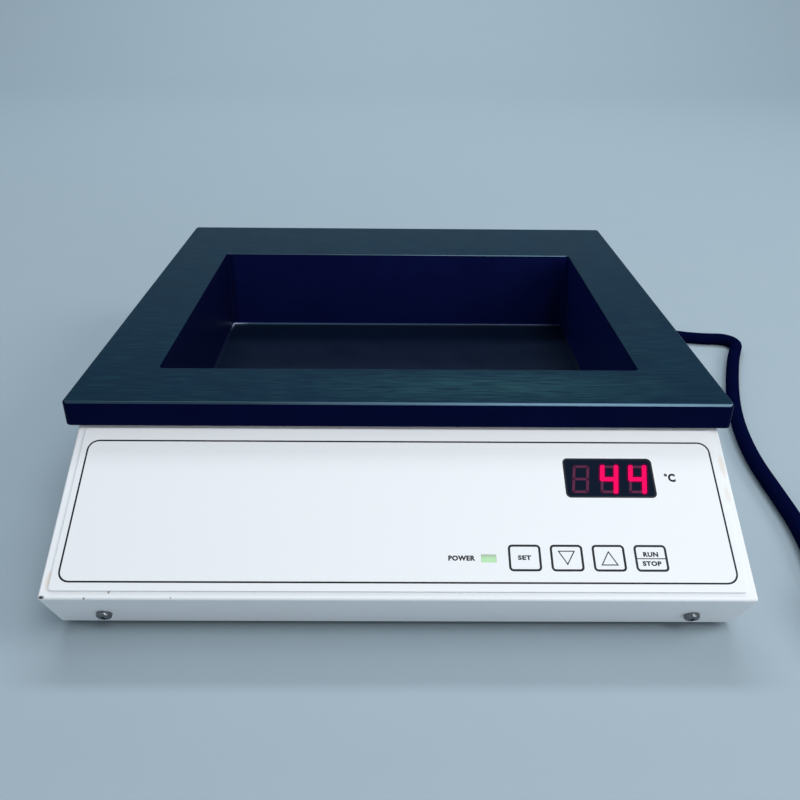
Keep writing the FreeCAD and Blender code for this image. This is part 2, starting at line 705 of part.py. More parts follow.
def clamp_studs():
    """Studs under the well's floor, with a shoulder as thick as the mat."""
    length = 9.2
    studs = []
    for x, y in clamp_places():
        shoulder = drum((x, y, MAT_UNDER_Z), 2.6, MAT_THICK)
        studs.append(join(shoulder, drum((x, y, FLOOR_UNDER_Z - length), SCREW_RADIUS, length - MAT_THICK)))
    return group(studs)


def clamp_nuts():
    """Nuts and washers under the clamp plate."""
    return group(moved(nut_and_washer(), (x, y, CLAMP_UNDER_Z)) for x, y in clamp_places())


def insulation_pan():
    """Mineral-felt box round the well, standing on the base pan."""
    low, high = well_outline(-FELT_GAP)
    outer = box((low[0] - FELT_THICK, low[1] - FELT_THICK, PAN_TOP_Z),
                (high[0] + FELT_THICK, high[1] + FELT_THICK, FELT_TOP_Z))
    inner = rounded_block((*low, FELT_FLOOR_TOP_Z), (*high, FELT_TOP_Z + 1), 4)
    sensor_window = box((-24.0, low[1] - 9, 34.0), (58.0, low[1] + 3, 58.0))
    lead_notch = box((-66.0, low[1] - 9, 20.0), (-50.0, low[1] + 3, 30.0))
    return outer.cut([inner, sensor_window, lead_notch])


def thermal_cutout():
    """Bimetal disc cut-out on the well's front wall, with its two tabs."""
    x, wall_y = -8.0, WELL_FRONT_Y - WELL_WALL
    out = Vector(0, -1, 0)
    cap = drum((x, wall_y, PROBE_Z), 8.2, 4.0, out)
    base = drum((x, wall_y - 4.0, PROBE_Z), 7.0, 5.0, out)
    tabs = [box((x + dx - 0.4, wall_y - 15.0, PROBE_Z - 3), (x + dx + 0.4, wall_y - 9.0, PROBE_Z + 3))
            for dx in (-4, 4)]
    return join(cap, base, *tabs)


def temperature_sensor():
    """Round probe lying along the well's front wall, with a blunt far end."""
    wall_y = WELL_FRONT_Y - WELL_WALL
    probe = drum((PROBE_X, wall_y - PROBE_RADIUS, PROBE_Z), PROBE_RADIUS, PROBE_LENGTH, X_AXIS)
    return round_edges(probe, 1.0, lambda e: len(e.Vertexes) == 1 and middle(e).x > PROBE_X + 1)


def sensor_clip():
    """Folded strap that holds the probe on the wall."""
    wall_y = WELL_FRONT_Y - WELL_WALL
    strap, left, width, ear = 0.6, PROBE_X + 8.0, 8.0, 5.0
    axis_y, outer = wall_y - PROBE_RADIUS, PROBE_RADIUS + strap
    arch = drum((left, axis_y, PROBE_Z), outer, width, X_AXIS)
    sides = box((left, axis_y, PROBE_Z - outer), (left + width, wall_y, PROBE_Z + outer))
    ears = [box((left, wall_y - strap, z), (left + width, wall_y, z + ear + 0.1))
            for z in (PROBE_Z - outer - ear, PROBE_Z + outer - 0.1)]
    hollow = drum((left - 1, axis_y, PROBE_Z), PROBE_RADIUS, width + 2, X_AXIS)
    channel = box((left - 1, axis_y, PROBE_Z - PROBE_RADIUS),
                  (left + width + 1, wall_y + 1, PROBE_Z + PROBE_RADIUS))
    return join(arch, sides, *ears).cut([hollow, channel])


# Power board and its parts, on the base pan
def power_board():
    """Board with its fixing holes."""
    sheet = rounded_block(
        (POWER_BOARD_X[0], POWER_BOARD_Y[0], POWER_BOARD_Z),
        (POWER_BOARD_X[1], POWER_BOARD_Y[1], POWER_BOARD_Z + BOARD_THICK), 2)
    holes = [drum((x, y, POWER_BOARD_Z - 1), 1.5 + THREAD_SLACK, 4) for x, y in power_board_places()]
    return sheet.cut(holes)


def power_board_places():
    """Middles of the power board's spacers."""
    inset = 4.0
    return [(x, y) for x in (POWER_BOARD_X[0] + inset, POWER_BOARD_X[1] - inset)
            for y in (POWER_BOARD_Y[0] + inset, POWER_BOARD_Y[1] - inset)]


def power_board_spacers():
    """Snap-in nylon spacers between the pan and the board."""
    posts = []
    for x, y in power_board_places():
        post = drum((x, y, PAN_TOP_Z), 3.0, POWER_BOARD_RISE)
        neck = drum((x, y, POWER_BOARD_Z), 1.5, BOARD_THICK)
        head = Part.makeCone(2.2, 1.2, 2.0, Vector(x, y, POWER_BOARD_Z + BOARD_THICK))
        posts.append(join(post, neck, head))
    return group(posts)


def on_power_board(x, y, wide, deep, rise):
    """Block standing on the power board."""
    top = POWER_BOARD_Z + BOARD_THICK
    return box((x, y, top), (x + wide, y + deep, top + rise))


def control_transformer():
    """Potted transformer for the controller's low voltage."""
    block = on_power_board(-122.0, -142.0, 36.0, 30.0, 22.0)
    return round_edges(block, 1.5, lambda e: middle(e).z > POWER_BOARD_Z + BOARD_THICK + 1)


def heat_sink():
    """Finned heat sink of the heater's triac."""
    foot_block = on_power_board(-78.0, -132.0, 26.0, 4.0, 24.0)
    fins = [on_power_board(-78.0 + i * 4.0, -140.0, 1.6, 8.0, 24.0) for i in range(7)]
    return join(foot_block, *[fin.common(on_power_board(-78.0, -140.0, 26.0, 8.0, 24.0)) for fin in fins])


def triac():
    """Triac on the heat sink, with its three legs down to the board."""
    body = on_power_board(-70.0, -128.0, 10.0, 4.4, 20.0).cut(on_power_board(-70.0, -128.0, 10.0, 4.4, 8.0))
    legs = [on_power_board(-66.0 + i * 2.54 - 0.4, -126.0, 0.8, 0.5, 8.0) for i in (-1, 0, 1)]
    return join(body, *legs)


def terminal_block():
    """Screw terminal block for the heater, mains and sensor leads."""
    block = on_power_board(TERMINAL_LEFT_X, TERMINAL_Y[0], TERMINAL_COUNT * TERMINAL_PITCH,
                           TERMINAL_Y[1] - TERMINAL_Y[0], 12.0)
    cuts = []
    top = POWER_BOARD_Z + BOARD_THICK
    for i in range(TERMINAL_COUNT):
        x = terminal_x(i)
        cuts.append(drum((x, (TERMINAL_Y[0] + TERMINAL_Y[1]) / 2 - 1, top + 8.0), 1.7, 6.0))
        cuts.append(box((x - 1.6, TERMINAL_Y[1] - TERMINAL_MOUTH_DEPTH, top + TERMINAL_MOUTH_RISE - 2.0),
                        (x + 1.6, TERMINAL_Y[1] + 1, top + TERMINAL_MOUTH_RISE + 2.0)))
    return block.cut(cuts)


def filter_capacitors():
    """Smoothing capacitors standing beside the triac."""
    top = POWER_BOARD_Z + BOARD_THICK
    cans = [drum((-44.0, -136.0, top), 5.0, 16.0), drum((-44.0, -122.0, top), 4.0, 12.0)]
    return group(round_edges(can, 0.8, lambda e: middle(e).z > top + 1 and len(e.Vertexes) == 1)
                 for can in cans)


# Mains inlet, fuse drawer and rocker in the rear wall
def socket_block(shrink, low_y, high_y):
    """Block of the inlet's keyed outline, with its two upper corners cut."""
    half, low = SOCKET_WIDTH / 2 - shrink, SOCKET_Z - SOCKET_HEIGHT / 2 + shrink
    high = SOCKET_Z + SOCKET_HEIGHT / 2 - shrink
    corners = [(-half, low), (half, low), (half, high - SOCKET_CHAMFER), (half - SOCKET_CHAMFER, high),
               (-half + SOCKET_CHAMFER, high), (-half, high - SOCKET_CHAMFER)]
    points = [Vector(INLET_X + x, low_y, z) for x, z in corners]
    return Part.Face(Part.makePolygon(points + points[:1])).extrude(Vector(0, high_y - low_y, 0))


def inlet_block(half_width, half_height, mid_z, low_y, high_y):
    """Block centred on the inlet's middle line."""
    return box((INLET_X - half_width, low_y, mid_z - half_height),
               (INLET_X + half_width, high_y, mid_z + half_height))


def pin_places():
    """Middles (x, z) of the live, neutral and earth pins."""
    spread, lift = 7.0, 2.0
    low_z = SOCKET_Z - lift
    return [(INLET_X - spread, low_z), (INLET_X + spread, low_z), (INLET_X, SOCKET_Z + lift)]


def mains_inlet():
    """Moulded inlet body with its bezel, keyed socket, drawer bay and rocker bay."""
    mid_z = INLET_BOTTOM_Z + INLET_CUT_HEIGHT / 2
    half_w, half_h = INLET_CUT_WIDTH / 2 - INLET_SLACK, INLET_CUT_HEIGHT / 2 - INLET_SLACK
    body = inlet_block(half_w, half_h, mid_z, BODY_REAR_Y - INLET_DEPTH, BODY_REAR_Y)
    bezel = inlet_block(half_w + BEZEL_OVERLAP, half_h + BEZEL_OVERLAP, mid_z, BODY_REAR_Y, BEZEL_Y)
    bezel = round_edges(bezel, 2.0, lambda e: runs_along(e, Y_AXIS))
    bezel = round_edges(bezel, 0.8, lambda e: all(abs(v.Y - BEZEL_Y) < 1e-6 for v in e.Vertexes))
    catches = []
    for side in (-1, 1):
        x = INLET_X + side * half_w
        catch_y = BODY_REAR_Y - SHEET - 0.1
        ramp = [Vector(x, catch_y, mid_z - 5), Vector(x + side * 1.2, catch_y, mid_z - 5),
                Vector(x, catch_y - 6.9, mid_z - 5)]
        catches.append(Part.Face(Part.makePolygon(ramp + ramp[:1])).extrude(Vector(0, 0, 10)))
    solid = join(body, bezel, *catches)
    cuts = [
        socket_block(0.0, BEZEL_Y - SOCKET_DEPTH, BEZEL_Y + 1),
        inlet_block(DRAWER_WIDTH / 2, DRAWER_HEIGHT / 2, DRAWER_Z, BEZEL_Y - DRAWER_DEPTH, BEZEL_Y + 1),
        inlet_block(ROCKER_OPENING / 2, ROCKER_HEIGHT / 2, ROCKER_Z, ROCKER_PIVOT_Y - 9.0, BEZEL_Y + 1),
        drum((INLET_X, ROCKER_PIVOT_Y, ROCKER_Z - ROCKER_HEIGHT / 2 - 1.2),
             ROCKER_PIN_RADIUS + ROCKER_PIN_SLACK, ROCKER_HEIGHT + 2.4),
    ]
    back_y = BODY_REAR_Y - INLET_DEPTH
    cuts += [box((x - 1.0, back_y - 1, z - 2.0), (x + 1.0, BEZEL_Y - SOCKET_DEPTH + 1, z + 2.0))
             for x, z in pin_places()]
    return solid.cut(cuts)


def inlet_pins():
    """Three pins that run through the inlet and end in tabs behind it."""
    tip_y, back_y = BODY_REAR_Y - 0.5, BODY_REAR_Y - INLET_DEPTH
    pins = []
    for x, z in pin_places():
        pin = box((x - 1.0, back_y, z - 2.0), (x + 1.0, tip_y, z + 2.0))
        pins.append(join(pin, box((x - 0.4, INLET_TAB_Y, z - 2.4), (x + 0.4, back_y, z + 2.4))))
    return group(pins)


def fuse_drawer():
    """Drawer for two fuses, with a finger notch in its face."""
    play = 0.15
    half_w, half_h = DRAWER_WIDTH / 2 - play, DRAWER_HEIGHT / 2 - play
    body = inlet_block(half_w, half_h, DRAWER_Z - play, BEZEL_Y - DRAWER_DEPTH, BEZEL_Y - 0.3)
    notch = inlet_block(4.0, 1.0, DRAWER_Z - half_h, BEZEL_Y - 1.8, BEZEL_Y + 1)
    bores = [drum((x, BEZEL_Y - DRAWER_DEPTH + 2.0, DRAWER_Z), 2.5 + THREAD_SLACK, 20.0, Y_AXIS)
             for x in (INLET_X - 5.2, INLET_X + 5.2)]
    return body.cut([notch] + bores)


def fuses():
    """Two 5 by 20 fuses in the drawer."""
    return group(drum((x, BEZEL_Y - DRAWER_DEPTH + 2.0, DRAWER_Z), 2.5, 20.0, Y_AXIS)
                 for x in (INLET_X - 5.2, INLET_X + 5.2))


def power_rocker():
    """Rocker with round ends and a dished face, resting with its first side pressed."""
    depth = 2.2
    end_x = math.sqrt(ROCKER_RADIUS ** 2 - ROCKER_CROWN ** 2)
    low_x = math.sqrt(ROCKER_RADIUS ** 2 - depth ** 2)
    dish = ROCKER_CROWN - end_x * math.tan(math.radians(ROCKER_TRAVEL / 2))
    left, right = Vector(-end_x, ROCKER_CROWN, 0), Vector(end_x, ROCKER_CROWN, 0)
    outline = [
        Part.LineSegment(left, Vector(0, dish, 0)), Part.LineSegment(Vector(0, dish, 0), right),
        Part.Arc(right, Vector(ROCKER_RADIUS, 0, 0), Vector(low_x, -depth, 0)),
        Part.LineSegment(Vector(low_x, -depth, 0), Vector(-low_x, -depth, 0)),
        Part.Arc(Vector(-low_x, -depth, 0), Vector(-ROCKER_RADIUS, 0, 0), left),
    ]
    face = Part.Face(Part.Wire([segment.toShape() for segment in outline]))
    height = ROCKER_HEIGHT - 2 * ROCKER_SIDE_GAP
    body = face.extrude(Vector(0, 0, height))
    pins = drum((0, 0, -1.0 - ROCKER_SIDE_GAP), ROCKER_PIN_RADIUS, height + 2 * (1.0 + ROCKER_SIDE_GAP))
    place = Placement(Vector(INLET_X, ROCKER_PIVOT_Y, ROCKER_Z - height / 2), Rotation(UP, ROCKER_TRAVEL / 2))
    return placed(join(body, pins), place)


# Leads inside the housing
def earth_stud():
    """Welded earth stud with its collar and nut."""
    foot_at = (*EARTH_STUD_AT, PAN_TOP_Z)
    nut = moved(hex_nut(radius=SCREW_RADIUS - 0.1), (*EARTH_STUD_AT, PAN_TOP_Z + 3.0))
    return join(drum(foot_at, SCREW_RADIUS, EARTH_STUD_HEIGHT), drum(foot_at, 4.0, 1.0), nut)


def earth_lead():
    """Earth lead from the inlet's middle tab, over the mains leads, to the top of the stud."""
    x, z = pin_places()[2]
    stud_x, stud_y = EARTH_STUD_AT
    stud_top = PAN_TOP_Z + EARTH_STUD_HEIGHT
    return tube([(x, INLET_TAB_Y, z), (x, 121.0, z), (x + 7, 118.6, z + 1.4), (x + 20, 118.8, z + 2),
                 (x + 30, 121.8, z + 1), (stud_x, stud_y, 22.5), (stud_x, stud_y, stud_top)], 2.2)


def terminal_x(index):
    """Middle of one terminal's mouth."""
    return TERMINAL_LEFT_X + (index + 0.5) * TERMINAL_PITCH


def into_terminal(index, start_y):
    """Last two points of a lead that enters a terminal's mouth from behind."""
    z = POWER_BOARD_Z + BOARD_THICK + TERMINAL_MOUTH_RISE
    return [(terminal_x(index), start_y, z), (terminal_x(index), TERMINAL_Y[1] - TERMINAL_MOUTH_DEPTH, z)]


def mains_leads():
    """Neutral and live leads: down behind the inlet, along the right wall and across to the terminals."""
    neutral_x, z = pin_places()[0]
    live_x = pin_places()[1][0]
    neutral = [(neutral_x, INLET_TAB_Y, z), (neutral_x, 121.0, z), (neutral_x + 6, 118.4, 13.0),
               (114.0, 118.2, 8.6), (129.0, 118.0, 8.0), (130.8, 104.0, 8.0), (131.0, 60.0, 8.1),
               (130.2, 0.0, 8.2), (130.6, -56.0, 8.0), (128.4, -81.4, 8.2), (98.0, -83.4, 8.4),
               (60.0, -83.0, 8.6), (10.0, -83.4, 8.8), (-34.0, -83.2, 12.0), (-48.5, -83.8, 17.0)]
    live = [(live_x, INLET_TAB_Y, z), (live_x, 122.0, z), (live_x + 6, 119.8, 16.0),
            (127.0, 119.0, 11.8), (135.0, 110.0, 10.6), (135.6, 60.0, 10.2), (134.8, 0.0, 10.3),
            (135.2, -60.0, 10.2), (131.0, -84.6, 10.6), (100.0, -88.2, 10.8), (60.0, -87.8, 11.0),
            (10.0, -88.3, 11.4), (-30.0, -87.8, 13.4), (-42.5, -87.2, 16.8)]
    return group([tube(neutral + into_terminal(6, -88.5), 2.4), tube(live + into_terminal(7, -90.4), 2.4)])


def heater_leads():
    """Leads from the heating mat's front edge through the felt's notch to the terminals."""
    mat_front = WELL_FRONT_Y - WELL_WALL + MAT_MARGIN
    z = MAT_UNDER_Z + MAT_THICK / 2
    leads = []
    for index in (4, 5):
        x = terminal_x(index)
        drop = [(x, mat_front, z), (x, -73.5, z), (x, -83.0, z - 3.2)]
        leads.append(tube(drop + into_terminal(index, -89.0), 1.5))
    return group(leads)


def sensor_leads():
    """Probe cable and the two leads of the cut-out, bowed down to the terminals."""
    probe_y = WELL_FRONT_Y - WELL_WALL - PROBE_RADIUS
    probe = [(PROBE_X, probe_y, PROBE_Z), (PROBE_X - 7, probe_y, PROBE_Z), (6.0, -80.0, 42.0),
             (2.0, -86.5, 36.0), (-20.0, -88.5, 32.0), (-46.0, -88.0, 30.5), (-59.0, -86.4, 28.0),
             (-65.4, -86.0, 22.5)]
    first = [(-12.0, -88.0, PROBE_Z), (-12.0, -91.5, PROBE_Z), (-20.0, -94.5, 41.0), (-45.0, -95.0, 34.0),
             (-65.0, -91.5, 28.5), (-74.6, -87.4, 22.6)]
    second = [(-4.0, -88.0, PROBE_Z), (-4.0, -93.0, PROBE_Z + 0.1), (-14.0, -98.0, 44.5),
              (-42.0, -98.6, 38.0), (-59.0, -95.0, 32.0), (-69.4, -88.6, 24.8)]
    return group([tube(probe + into_terminal(3, -89.4), 1.6), tube(first + into_terminal(1, -89.8), 1.6),
                  tube(second + into_terminal(2, -89.6), 1.6)])


def control_leads():
    """Flat bundle of leads between the two boards' edges."""
    start = PANEL.multVec(Vector(BOARD_X[0], 30.0, BOARD_TOP_N - BOARD_THICK / 2))
    end_x, end_z = POWER_BOARD_X[1], POWER_BOARD_Z + BOARD_THICK / 2
    span = start.x - end_x
    leads = []
    for i in range(4):
        y = start.y - 6.0 + 3.0 * i
        z = start.z + (y - start.y) * SLOPE_SIN / SLOPE_COS
        drop = z - end_z
        shares = ((0.0, 0.0), (0.17, 0.0), (0.41, 0.45), (0.62, 0.85), (0.81, 1.0), (1.0, 1.0))
        leads.append(tube([(start.x - along * span, y, z - down * drop) for along, down in shares], 1.3))
    return group(leads)


# Mains lead
def mains_connector():
    """Moulded connector: keyed nose with three sockets, waisted grip and ribbed bend relief."""
    nose = socket_block(0.2, BEZEL_Y - SOCKET_DEPTH + 0.5, BEZEL_Y + 0.5)
    holes = [box((x - 1.1, BEZEL_Y - SOCKET_DEPTH - 1, z - 2.1), (x + 1.1, BODY_REAR_Y, z + 2.1))
             for x, z in pin_places()]
    grip_start = BEZEL_Y
    sections = ((grip_start, 28.5, 20.0, 3.0), (grip_start + 9, 28.5, 20.0, 3.0),
                (grip_start + 16, 25.0, 18.0, 3.5), (CONNECTOR_GRIP_END_Y, 19.0, 15.5, 4.0))
    wires = [rounded_rectangle(w, h, r, (INLET_X, y, SOCKET_Z)) for y, w, h, r in sections]
    grip = Part.makeLoft(wires, True, True)
    relief = bend_relief(CONNECTOR_END_Y - CONNECTOR_GRIP_END_Y)
    turned = placed(relief, Placement(Vector(INLET_X, CONNECTOR_GRIP_END_Y, SOCKET_Z), Rotation(X_AXIS, -90)))
    return join(nose.cut(holes), grip, turned)


def bend_relief(length):
    """Tapered sleeve with ring grooves, from the origin up."""
    wide, narrow = CORD_RADIUS + 2.6, CORD_RADIUS + 1.0
    cone = Part.makeCone(wide, narrow, length)
    rings = [Part.makeTorus(wide + 0.5, 1.0, Vector(0, 0, length * share)) for share in (0.3, 0.5, 0.7)]
    return cone.cut(rings)


def power_cord():
    """Mains lead from the connector to the coil."""
    return tube(CORD_ROUTE, CORD_DIAMETER)


def cord_coil():
    """Outer shape of the coiled rest of the lead: two turns wide and two high."""
    ring = Part.makeCylinder(COIL_OUTER, COIL_HEIGHT).cut(Part.makeCylinder(COIL_INNER, COIL_HEIGHT))
    ring = round_edges(ring, CORD_RADIUS * 0.95, lambda e: len(e.Vertexes) == 1)
    return moved(ring, (*COIL_CENTRE, 0))


def tie_block(grow):
    """Rounded block round the coil's section, on its far side."""
    half = COIL_HEIGHT / 2 + grow
    x, y = COIL_CENTRE[0], COIL_CENTRE[1] - COIL_MEAN_RADIUS
    block = box((x - TIE_HALF_WIDTH, y - half, 0), (x + TIE_HALF_WIDTH, y + half, COIL_HEIGHT + grow))
    return round_edges(block, CORD_RADIUS, lambda e: runs_along(e, X_AXIS) and middle(e).z > 1)


def cord_tie():
    """Strap round the coil."""
    return tie_block(1.2).cut(cord_coil())


def cord_tail():
    """Last straight stretch from the coil to the plug."""
    start = (COIL_CENTRE[0] + COIL_TAIL_RADIUS, COIL_CENTRE[1], PLUG_AXIS_Z)
    return drum(start, CORD_RADIUS, PLUG_START_Y - COIL_CENTRE[1], Y_AXIS)


def mains_plug():
    """Moulded plug: bend relief, waisted grip and flat face."""
    x, z = COIL_CENTRE[0] + COIL_TAIL_RADIUS, PLUG_AXIS_Z
    relief = bend_relief(PLUG_STRAIN)
    turned = placed(relief, Placement(Vector(x, PLUG_START_Y + PLUG_STRAIN, z), Rotation(X_AXIS, 90)))
    start = PLUG_START_Y + PLUG_STRAIN
    height = 2 * PLUG_AXIS_Z
    sections = ((start, 17.0, 16.0), (start + 12, 21.0, 20.0), (start + 22, PLUG_WIDTH, height),
                (start + PLUG_BODY, PLUG_WIDTH, height))
    wires = [rounded_rectangle(w, h, 4.0, (x, y, z)) for y, w, h in sections]
    body = Part.makeLoft(wires, True, True)
    return join(body, turned)


def plug_blades():
    """Two flat blades and the round earth pin."""
    x, z = COIL_CENTRE[0] + COIL_TAIL_RADIUS, PLUG_AXIS_Z
    face_y = PLUG_START_Y + PLUG_STRAIN + PLUG_BODY
    blades = [box((x + side * 6.35 - 0.75, face_y, z - 6.0), (x + side * 6.35 + 0.75, face_y + 17.0, z + 0.3))
              for side in (-1, 1)]
    pin = round_edges(drum((x, face_y, z + 6.5), 2.4, 20.0, Y_AXIS), 1.2,
                      lambda e: abs(middle(e).y - face_y - 20.0) < 1e-6 and len(e.Vertexes) == 1)
    return group(blades + [pin])


NODES = {
    "bath_tray": bath_tray,
    "rim_gasket": rim_gasket,
    "tray_studs": tray_studs,
    "tray_nuts": tray_nuts,
    "cover_housing": cover_housing,
    "base_plate": base_plate,
    "foot_screws": foot_screws,
    "foot_nuts": foot_nuts,
    "front_screw_left": lambda: front_screw(-1),
    "front_screw_right": lambda: front_screw(1),
    "rear_screws": rear_screws,
    "control_overlay": control_overlay,
    "membrane_switch": membrane_switch,
    "key_domes": key_domes,
    "display_window": display_window,
    "display_module": display_module,
    "power_led": power_led,
    "control_board": control_board,
    "tail_connector": tail_connector,
    "board_standoffs": board_standoffs,
    "board_screws": board_screws,
    "heater_mat": heater_mat,
    "heater_clamp_plate": heater_clamp_plate,
    "clamp_studs": clamp_studs,
    "clamp_nuts": clamp_nuts,
    "insulation_pan": insulation_pan,
    "thermal_cutout": thermal_cutout,
    "temperature_sensor": temperature_sensor,
    "sensor_clip": sensor_clip,
    "power_board": power_board,
    "power_board_spacers": power_board_spacers,
    "control_transformer": control_transformer,
    "heat_sink": heat_sink,
    "triac": triac,
    "terminal_block": terminal_block,
    "filter_capacitors": filter_capacitors,
    "mains_inlet": mains_inlet,
    "inlet_pins": inlet_pins,
    "fuse_drawer": fuse_drawer,
    "fuses": fuses,
    "power_rocker": power_rocker,
    "earth_stud": earth_stud,
    "earth_lead": earth_lead,
    "mains_leads": mains_leads,
    "heater_leads": heater_leads,
    "sensor_leads": sensor_leads,
    "control_leads": control_leads,
    "mains_connector": mains_connector,
    "power_cord": power_cord,
    "cord_coil": cord_coil,
    "cord_tie": cord_tie,
    "cord_tail": cord_tail,
    "mains_plug": mains_plug,
    "plug_blades": plug_blades,
}
FEET = ("foot_front_left", "foot_front_right", "foot_rear_left", "foot_rear_right")

os.makedirs("parts", exist_ok=True)
for node_name, build in NODES.items():
    save(node_name, build())
for node_name, (foot_x, foot_y) in zip(FEET, foot_places()):
    save(node_name, moved(foot(), (foot_x, foot_y, 0)))

cord_path, cord_radii = rounded_path(CORD_ROUTE)
section_volume = math.pi * CORD_RADIUS ** 2 * cord_path.Length
print("cord radii", [round(radius, 1) for radius in cord_radii])
print(f"cord length {cord_path.Length:.1f}")
print(f"cord volume {power_cord().Volume:.0f}, section by length {section_volume:.0f}")
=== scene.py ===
"""Looks of a histology water bath: finishes, printed keypad, display, cast tray and mains lead.

The script works in metres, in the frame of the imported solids: +Z is up and the keypad faces -Y.
Sizes are written in millimetres and turned to metres by MM.
"""

import json
import logging
import math
from collections.abc import Callable, Iterator
from contextlib import contextmanager
from dataclasses import dataclass
from enum import Enum

import bmesh
import bpy
from mathutils import Euler, Matrix, Vector

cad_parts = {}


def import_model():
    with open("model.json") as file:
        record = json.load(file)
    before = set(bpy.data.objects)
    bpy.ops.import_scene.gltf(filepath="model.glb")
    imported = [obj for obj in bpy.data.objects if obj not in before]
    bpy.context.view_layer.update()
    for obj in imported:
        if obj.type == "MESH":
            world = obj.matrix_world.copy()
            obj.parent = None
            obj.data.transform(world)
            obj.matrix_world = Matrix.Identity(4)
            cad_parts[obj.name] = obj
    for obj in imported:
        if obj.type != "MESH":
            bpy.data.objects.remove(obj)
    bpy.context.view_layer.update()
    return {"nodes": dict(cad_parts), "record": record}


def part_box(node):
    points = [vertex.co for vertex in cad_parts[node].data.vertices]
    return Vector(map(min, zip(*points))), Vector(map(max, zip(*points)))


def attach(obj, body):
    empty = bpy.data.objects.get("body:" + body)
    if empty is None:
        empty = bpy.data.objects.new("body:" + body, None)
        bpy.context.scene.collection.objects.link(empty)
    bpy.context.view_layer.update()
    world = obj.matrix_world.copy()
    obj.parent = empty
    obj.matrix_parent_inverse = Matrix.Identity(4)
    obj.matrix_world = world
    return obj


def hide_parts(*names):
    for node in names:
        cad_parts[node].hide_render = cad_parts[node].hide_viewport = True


log = logging.getLogger("water_bath")

MM = 0.001
HOUSING = "housing"
ROCKER = "rocker"
# Two faces at a wider angle than this meet in an edge, and lengths closer than this are the same
SHARP = math.radians(40)
TINY = 0.02 * MM
# A face whose normal's Z is above this looks up, and below its negative looks down
FACING = 0.9

# The panel's plane is sloped about X from the cover's front fold. The film's face lies a little over it
PANEL_NOSE = Vector((0.0, -172.0, 28.9)) * MM
PANEL_SLOPE = math.radians(30)
PANEL = Matrix.Translation(PANEL_NOSE) @ Matrix.Rotation(PANEL_SLOPE, 4, "X")
FILM_TOP = 0.8
INK_THICK = 0.03


def linear(colour: str) -> tuple[float, float, float, float]:
    """Turns an sRGB hex colour to linear values.

    Args:
        colour: Six hex digits after a hash mark.

    Returns:
        Linear red, green, blue and an alpha of one.
    """
    parts = [int(colour[i:i + 2], 16) / 255 for i in (1, 3, 5)]
    return (*[p / 12.92 if p <= 0.04045 else ((p + 0.055) / 1.055) ** 2.4 for p in parts], 1.0)


def per_metre(millimetres: float) -> float:
    """Pattern scale for features of that size on Object coordinates."""
    return 1.0 / (millimetres * MM)


def add_node(tree: bpy.types.NodeTree, kind: str, settings: dict | None = None,
             sockets: dict | None = None) -> bpy.types.Node:
    """Adds a node with its settings and links.

    Args:
        tree: The material's or world's node tree.
        kind: The node's type name.
        settings: Attributes of the node.
        sockets: Input name or index, and a value or another node's output.

    Returns:
        The new node.
    """
    node = tree.nodes.new(kind)
    for name, value in (settings or {}).items():
        setattr(node, name, value)
    for name, value in (sockets or {}).items():
        if isinstance(value, bpy.types.NodeSocket):
            tree.links.new(value, node.inputs[name])
        else:
            node.inputs[name].default_value = value
    return node


# A brushed finish's lines are 25 times as long as they are wide
BRUSH_STRETCH = (0.04, 1, 1)
# How much finer a wave texture's threads are than a noise texture's features at the same scale
WAVE_FINENESS = 6
NOISE_ROUGHNESS = 0.6
BUMP_STRENGTH = 0.6


class Pattern(Enum):
    """What breaks up a finish."""
    GRAIN = "fine even grain of a moulding or coat"
    CLOUDS = "soft patches, as on a dyed casting"
    BRUSHED = "lines along X, as on rolled or brushed metal"
    WEAVE = "crossed threads of a strap or felt"


@dataclass(frozen=True)
class Mark:
    """A spot of wear, stain, painted light or painted shade, its middle and half-lengths in millimetres."""
    place: tuple[float, float, float]
    size: tuple[float, float, float]
    colour: str
    strength: float = 1.0
    edge: float = 0.5

    def over(self, tree: bpy.types.NodeTree, colour: bpy.types.NodeSocket) -> bpy.types.NodeSocket:
        """Mixes the mark over a colour.

        Args:
            tree: The material's node tree.
            colour: The colour under it.

        Returns:
            The colour with the mark on it.
        """
        place = add_node(tree, "ShaderNodeTexCoord").outputs["Object"]
        centred = add_node(tree, "ShaderNodeMapping", {"vector_type": "TEXTURE"}, {
            0: place, "Location": Vector(self.place) * MM, "Scale": Vector(self.size) * MM}).outputs[0]
        ball = add_node(tree, "ShaderNodeTexGradient", {"gradient_type": "SPHERICAL"}, {0: centred})
        share = add_node(tree, "ShaderNodeMapRange", sockets={
            0: ball.outputs["Fac"], 1: 0.0, 2: self.edge, 3: 0.0, 4: self.strength})
        return add_node(tree, "ShaderNodeMix", {"data_type": "RGBA"},
                        {0: share.outputs[0], 6: colour, 7: linear(self.colour)}).outputs[2]


